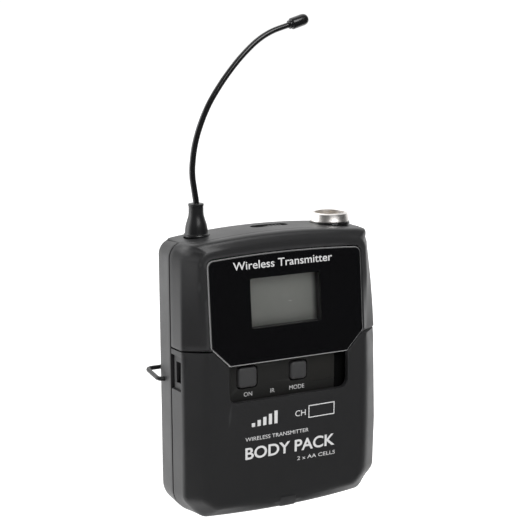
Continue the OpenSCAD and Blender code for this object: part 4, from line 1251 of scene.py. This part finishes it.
def make_cells():
    """Cells: a sleeve with soft ends, a crimp and a raised cap, turned about X."""
    for node, side in (("battery_upper", 1), ("battery_lower", -1)):
        low, high = span(node)
        y, z = (low[1] + high[1]) / 2, (low[2] + high[2]) / 2
        r, length = (high[2] - low[2]) / 2, high[0] - low[0]
        profile = np.array(
            [(0, 0), (4.8, 0), (5.2, 0.15), (6.3, 0.15), (r - 0.25, 0.2), (r, 0.5)]
            + [(x, length - d) for x, d in (
                (r, 2.0), (r - 0.3, 1.65), (r - 1.2, 1.5), (r - 1.4, 1.35), (3.0, 1.3), (2.75, 1.1),
                (2.7, 0.2), (2.5, 0), (0, 0))])
        start = low[0] if side > 0 else high[0]
        cell = lathe(f"cell_{node[8:]}", profile * [1, side], [start, y, z], "x", 72)
        cell.data.set_sharp_from_angle(angle=math.radians(40))
        band = (high[0] - 14.5, high[0] - 1.9) if side > 0 else (low[0] + 1.9, low[0] + 14.5)
        sleeve = banded(f"Cell sleeve {node[8:]}", (0.02, 0.02, 0.022), (0.62, 0.3, 0.1), band[0] * MM,
                        band[1] * MM, 0, 0.25, metal=0.6, soft=0.05 * MM)
        dress(cell, sleeve, "pack", "cell_sleeve", node)


def helix(start, radius, length, turns, end_radius):
    """Coil along X: a circle that moves on and narrows from one radius to the other."""
    t = np.linspace(0, 1, int(turns * 24) + 1)
    r = blend(radius, end_radius, t)
    a = 2 * np.pi * turns * t
    return np.stack([start[0] + length * t, start[1] + r * np.cos(a), start[2] + r * np.sin(a)], -1)


def make_springs():
    """Coils that press on the cells, narrower at the cell's end."""
    low, high = span("contact_springs")
    for node, side in (("battery_upper", -1), ("battery_lower", 1)):
        b_low, b_high = span(node)
        y, z = (b_low[1] + b_high[1]) / 2, (b_low[2] + b_high[2]) / 2
        start = low[0] + 0.2 if side < 0 else high[0] - 0.2
        reach = (b_low[0] - low[0] - 0.55) if side < 0 else -(high[0] - b_high[0] - 0.55)
        coil = swept(f"cell_spring_{node[8:]}", helix([start, y, z], 3.6, reach, 3, 2.4), 0.2, 8,
                     hint=(1, 0, 0))
        dress(coil, finish("steel"), "pack", "spring_steel", *(["contact_springs"] if side < 0 else []))


# ---------- print ----------


def lettering(name, words, height, spot, width=None, bold=0.0):
    """Flat letters cut as a mesh: capitals of the given height, middle at spot(x, up) on a surface."""
    curve = bpy.data.curves.new(name, "FONT")
    curve.body = words
    curve.size = 1.0
    curve.align_x = "CENTER"
    curve.align_y = "CENTER"
    curve.offset = bold
    curve.resolution_u = 6
    text = bpy.data.objects.new(name, curve)
    bpy.context.scene.collection.objects.link(text)
    graph = bpy.context.evaluated_depsgraph_get()
    mesh = bpy.data.meshes.new_from_object(text.evaluated_get(graph))
    bpy.data.objects.remove(text)
    co = np.empty(len(mesh.vertices) * 3)
    mesh.vertices.foreach_get("co", co)
    co = co.reshape(-1, 3)
    size = co.max(0) - co.min(0)
    middle = (co.max(0) + co.min(0)) / 2
    tall = height / 0.72
    scale = tall if width is None else width / size[0]
    flat = co[:, :2] - middle[:2]
    placed = spot(flat[:, 0] * scale, flat[:, 1] * tall)
    mesh.vertices.foreach_set("co", (placed * MM).ravel())
    mesh.update()
    piece = bpy.data.objects.new(name, mesh)
    bpy.context.scene.collection.objects.link(piece)
    return face_front(piece)


def make_print():
    """White print: a generic title over the display, key names, and plain marks and words on the door."""
    proud = 0.015
    title_up = 29.5

    def lens_spot(x, up):
        return on_lens(x - 1.0, up + title_up, -proud)

    title = lettering("title_print", "Wireless Transmitter", sizes().title_height / MM, lens_spot, 33.5,
                      0.008)
    dress(title, finish("ink"), "pack", "lens_gloss")
    front = PANEL[0][1]
    on_low, on_high = span("on_key")
    mode_low, mode_high = span("mode_key")
    names = {"ON": (on_low[0] + on_high[0]) / 2 + 0.3, "IR": -4.6,
             "MODE": (mode_low[0] + mode_high[0]) / 2 - 0.4}
    for word, x in names.items():
        def panel_spot(a, up, x=x):
            return np.stack([a + x, np.full(len(a), front - proud), up + 37.2], -1)
        label = lettering(f"{word.lower()}_label", word, sizes().label_height / MM, panel_spot)
        dress(label, finish("ink"), "pack", "inner_plastic")

    def door_spot(x0, z0):
        def spot(a, up):
            return np.stack([a + x0, front_at(a + x0, up + z0) - proud, up + z0], -1)
        return spot

    words = {"door_title": ("BODY PACK", 3.7, 0.4, 19.4, 31.0, 0.02),
             "door_small": ("WIRELESS TRANSMITTER", 1.25, -4.3, 23.9, 21.6, 0.0),
             "door_cells": ("2 x AA CELLS", 1.25, 9.4, 15.2, 13.4, 0.0),
             "channel_label": ("CH", 1.9, 3.6, 29.6, 3.6, 0.0)}
    for name, (text, height, x0, z0, width, bold) in words.items():
        piece = lettering(name, text, height, door_spot(x0, z0), width, bold)
        dress(piece, finish("ink"), "door", "case_plastic")
    make_signal_bars(door_spot)


def make_signal_bars(door_spot):
    """A row of five rising bars and a thin empty frame to write a channel in, printed on the door."""
    line = 0.3
    left, right, low, high = 6.4, 15.6, 27.6, 31.6
    spots = [(-13.0 + 1.9 * k, low, 1.1, 1.2 + 0.7 * k) for k in range(5)]
    tall = high - low - 2 * line
    spots += [(left, low, right - left, line), (left, high - line, right - left, line),
              (left, low + line, line, tall), (right - line, low + line, line, tall)]
    points, faces = [], []
    spot = door_spot(0, 0)
    for x, z, width, height in spots:
        across = np.linspace(x, x + width, 9)
        low = spot(across, np.full(9, z))
        high = spot(across, np.full(9, z + height))
        base = len(points) * 18
        points.append(np.vstack([low, high]))
        faces.append(quads(2, 9) + base)
    piece = put("door_marks", np.vstack(points), np.vstack(faces))
    face_front(piece)
    dress(piece, finish("ink"), "door", "case_plastic")


# ---------- carried-over nodes and stage ----------


def dress_nodes():
    """Finishes for the packed nodes that show as they are."""
    looks = {
        "steel": ("hinge_pins", "latch_springs", "board_screws", "contact_plates"),
        "inner": ("latch_left", "latch_right", "battery_tray"),
        "infrared": ("ir_window", "ir_sensor"),
        "tin": ("key_switches", "rf_shield", "mute_switch"),
        "gold": ("socket_pins", "antenna_mount", "supply_pins"),
        "black_screw": ("case_screws",),
        "frame": ("display_frame",),
        "chip": ("board_chips",),
        "insert": ("socket_insert",),
    }
    worn_by = {name: finish(key) for key, names in looks.items() for name in names}
    worn_by.update(display_glass=display_finish(), main_board=board_finish())
    for name, material in worn_by.items():
        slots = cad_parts[name].data.materials
        slots.clear()
        slots.append(material)


def make_stage():
    """Pale floor, a backdrop that is bright behind and dark in front, soft lights and the camera."""
    make_floor()
    make_backdrop()
    middle = Vector((0, 0, 0.05))
    lamps = {
        "left_window": ((-0.75, 0.50, 0.30), 0.6, 2.3),
        "top_window": ((-0.05, 0.50, 0.75), 0.6, 1.2),
        "front_fill": ((0.06, -0.66, 0.66), 0.5, 4.6),
    }
    for name, (place, size, power) in lamps.items():
        lamp = bpy.data.lights.new(name, "AREA")
        lamp.shape = "SQUARE"
        lamp.size = size
        lamp.energy = power
        thing = bpy.data.objects.new(name, lamp)
        bpy.context.scene.collection.objects.link(thing)
        aim = middle - Vector(place)
        thing.matrix_world = Matrix.Translation(place) @ aim.to_track_quat("-Z", "Y").to_matrix().to_4x4()
    make_camera()
    bpy.context.scene.view_settings.view_transform = "Standard"


def make_floor():
    """White floor under the lowest that the door swings to, and a dark card that only glossy rays see."""
    corners = [(-2500, -2500), (2500, -2500), (2500, 2500), (-2500, 2500)]
    floor = put("floor", [[x, y, FLOOR_Z] for x, y in corners], [[0, 1, 2, 3]])
    material, _ = finish_of("Pale floor", (0.9, 0.9, 0.9), 0.8, grain=300.0, depth=0.000002, wear=0.0,
                            specular=0.0)
    shader = material.node_tree.nodes["Principled BSDF"]
    shader.inputs["Emission Color"].default_value = (1, 1, 1, 1)
    shader.inputs["Emission Strength"].default_value = 0.6
    floor.data.materials.append(material)
    card = put("dark_card", [[x, min(y, -14), FLOOR_Z + 0.3] for x, y in corners],
               [[0, 1, 2, 3]])
    card_material, _ = finish_of("Black card", (0.004, 0.004, 0.004), 0.9, grain=3200.0, depth=0.00002,
                                 wear=0.0, specular=0.0)
    card.data.materials.append(card_material)
    card.visible_camera = False
    card.visible_diffuse = False
    card.visible_shadow = False


def make_backdrop():
    """World that is white behind the pack and falls off to dark grey in front of it."""
    world = bpy.data.worlds.new("Studio")
    bpy.context.scene.world = world
    world.use_nodes = True
    tree = world.node_tree
    split = add_node(tree, "SeparateXYZ", {0: add_node(tree, "TexCoord").outputs["Generated"]}).outputs
    lift = add_node(tree, "Math", {0: split["Z"], 1: 0.3, 2: split["Y"]}, operation="MULTIPLY_ADD")
    fade = add_node(tree, "MapRange", {"From Min": -0.16, "From Max": 0.55, "To Min": 0.05, "To Max": 1.05,
                                   "Value": lift.outputs[0]}, interpolation_type="SMOOTHSTEP")
    tree.links.new(fade.outputs["Result"], tree.nodes["Background"].inputs["Color"])


def make_camera():
    """Camera to the left of the display and a little above it, as far away as the lens needs."""
    yaw, pitch, roll = math.radians(28.0), math.radians(11.07), math.radians(0.29)
    forward = np.array([math.sin(yaw) * math.cos(pitch), math.cos(yaw) * math.cos(pitch), -math.sin(pitch)])
    right = np.array([math.cos(yaw), -math.sin(yaw), 0.0])
    down = np.cross(forward, right)
    right, down = (math.cos(roll) * right + math.sin(roll) * down,
                   math.cos(roll) * down - math.sin(roll) * right)
    lens = bpy.data.cameras.new("Camera")
    lens.lens = 97.8
    lens.sensor_width = 36.0
    lens.clip_start = 0.01
    camera = bpy.data.objects.new("Camera", lens)
    bpy.context.scene.collection.objects.link(camera)
    place = (-0.2028, -0.3766, 0.1575)
    turn = Matrix(np.column_stack([right, -down, -forward]).tolist()).to_4x4()
    camera.matrix_world = Matrix.Translation(place) @ turn
    bpy.context.scene.camera = camera


def operator(name, label, *makers):
    """An operator class that runs the makers of one piece or group of like pieces."""
    def execute(self, context):
        for make in makers:
            make()
        return {"FINISHED"}

    return type(f"PACK_OT_{name}", (bpy.types.Operator,), {
        "__doc__": makers[0].__doc__, "bl_idname": f"pack.{name}", "bl_label": label,
        "bl_options": {"REGISTER", "UNDO"}, "execute": execute})


OPERATORS = [
    operator("stage", "Stage", make_stage),
    operator("rear_case", "Rear case", make_rear_case),
    operator("upper_case", "Upper case", make_upper_case),
    operator("door_cover", "Door", make_door_cover),
    operator("hinge", "Hinge", make_hinge),
    operator("top_panel", "Top panel", make_top_panel),
    operator("lens_face", "Lens", make_lens),
    operator("keys", "Keys", make_keys, make_key_panel),
    operator("socket", "Socket", make_socket),
    operator("antenna", "Antenna", make_antenna),
    operator("mute_knob", "Mute slider", make_mute_slider),
    operator("wire_clip", "Belt clip", make_clip),
    operator("cells", "Cells", make_cells, make_springs),
    operator("print", "Print", make_print),
    operator("inner_parts", "Inner parts", dress_nodes),
]


class PACK_PT_panel(bpy.types.Panel):
    """Lists the pack's sizes, colours and makers."""

    bl_idname = "PACK_PT_panel"
    bl_label = "Transmitter pack"
    bl_space_type = "VIEW_3D"
    bl_region_type = "UI"
    bl_category = "Pack"

    def draw(self, context):
        for group in (context.scene.pack_sizes, context.scene.pack_colours):
            for key in group.bl_rna.properties.keys():
                if key not in ("rna_type", "name"):
                    self.layout.prop(group, key)
        for kind in OPERATORS:
            self.layout.operator(kind.bl_idname)


CLASSES = [PackSizes, PackColours, *OPERATORS, PACK_PT_panel]


def register():
    """Adds the classes and the scene's settings."""
    for kind in CLASSES:
        bpy.utils.register_class(kind)
    bpy.types.Scene.pack_sizes = bpy.props.PointerProperty(type=PackSizes)
    bpy.types.Scene.pack_colours = bpy.props.PointerProperty(type=PackColours)


def unregister():
    """Takes the classes and settings away."""
    del bpy.types.Scene.pack_sizes
    del bpy.types.Scene.pack_colours
    for kind in reversed(CLASSES):
        bpy.utils.unregister_class(kind)


def main():
    """Makes every piece in order and writes the two boxes."""
    register()
    for kind in OPERATORS:
        getattr(bpy.ops.pack, kind.bl_idname.split(".")[1])()


if __name__ == "__main__":
    main()
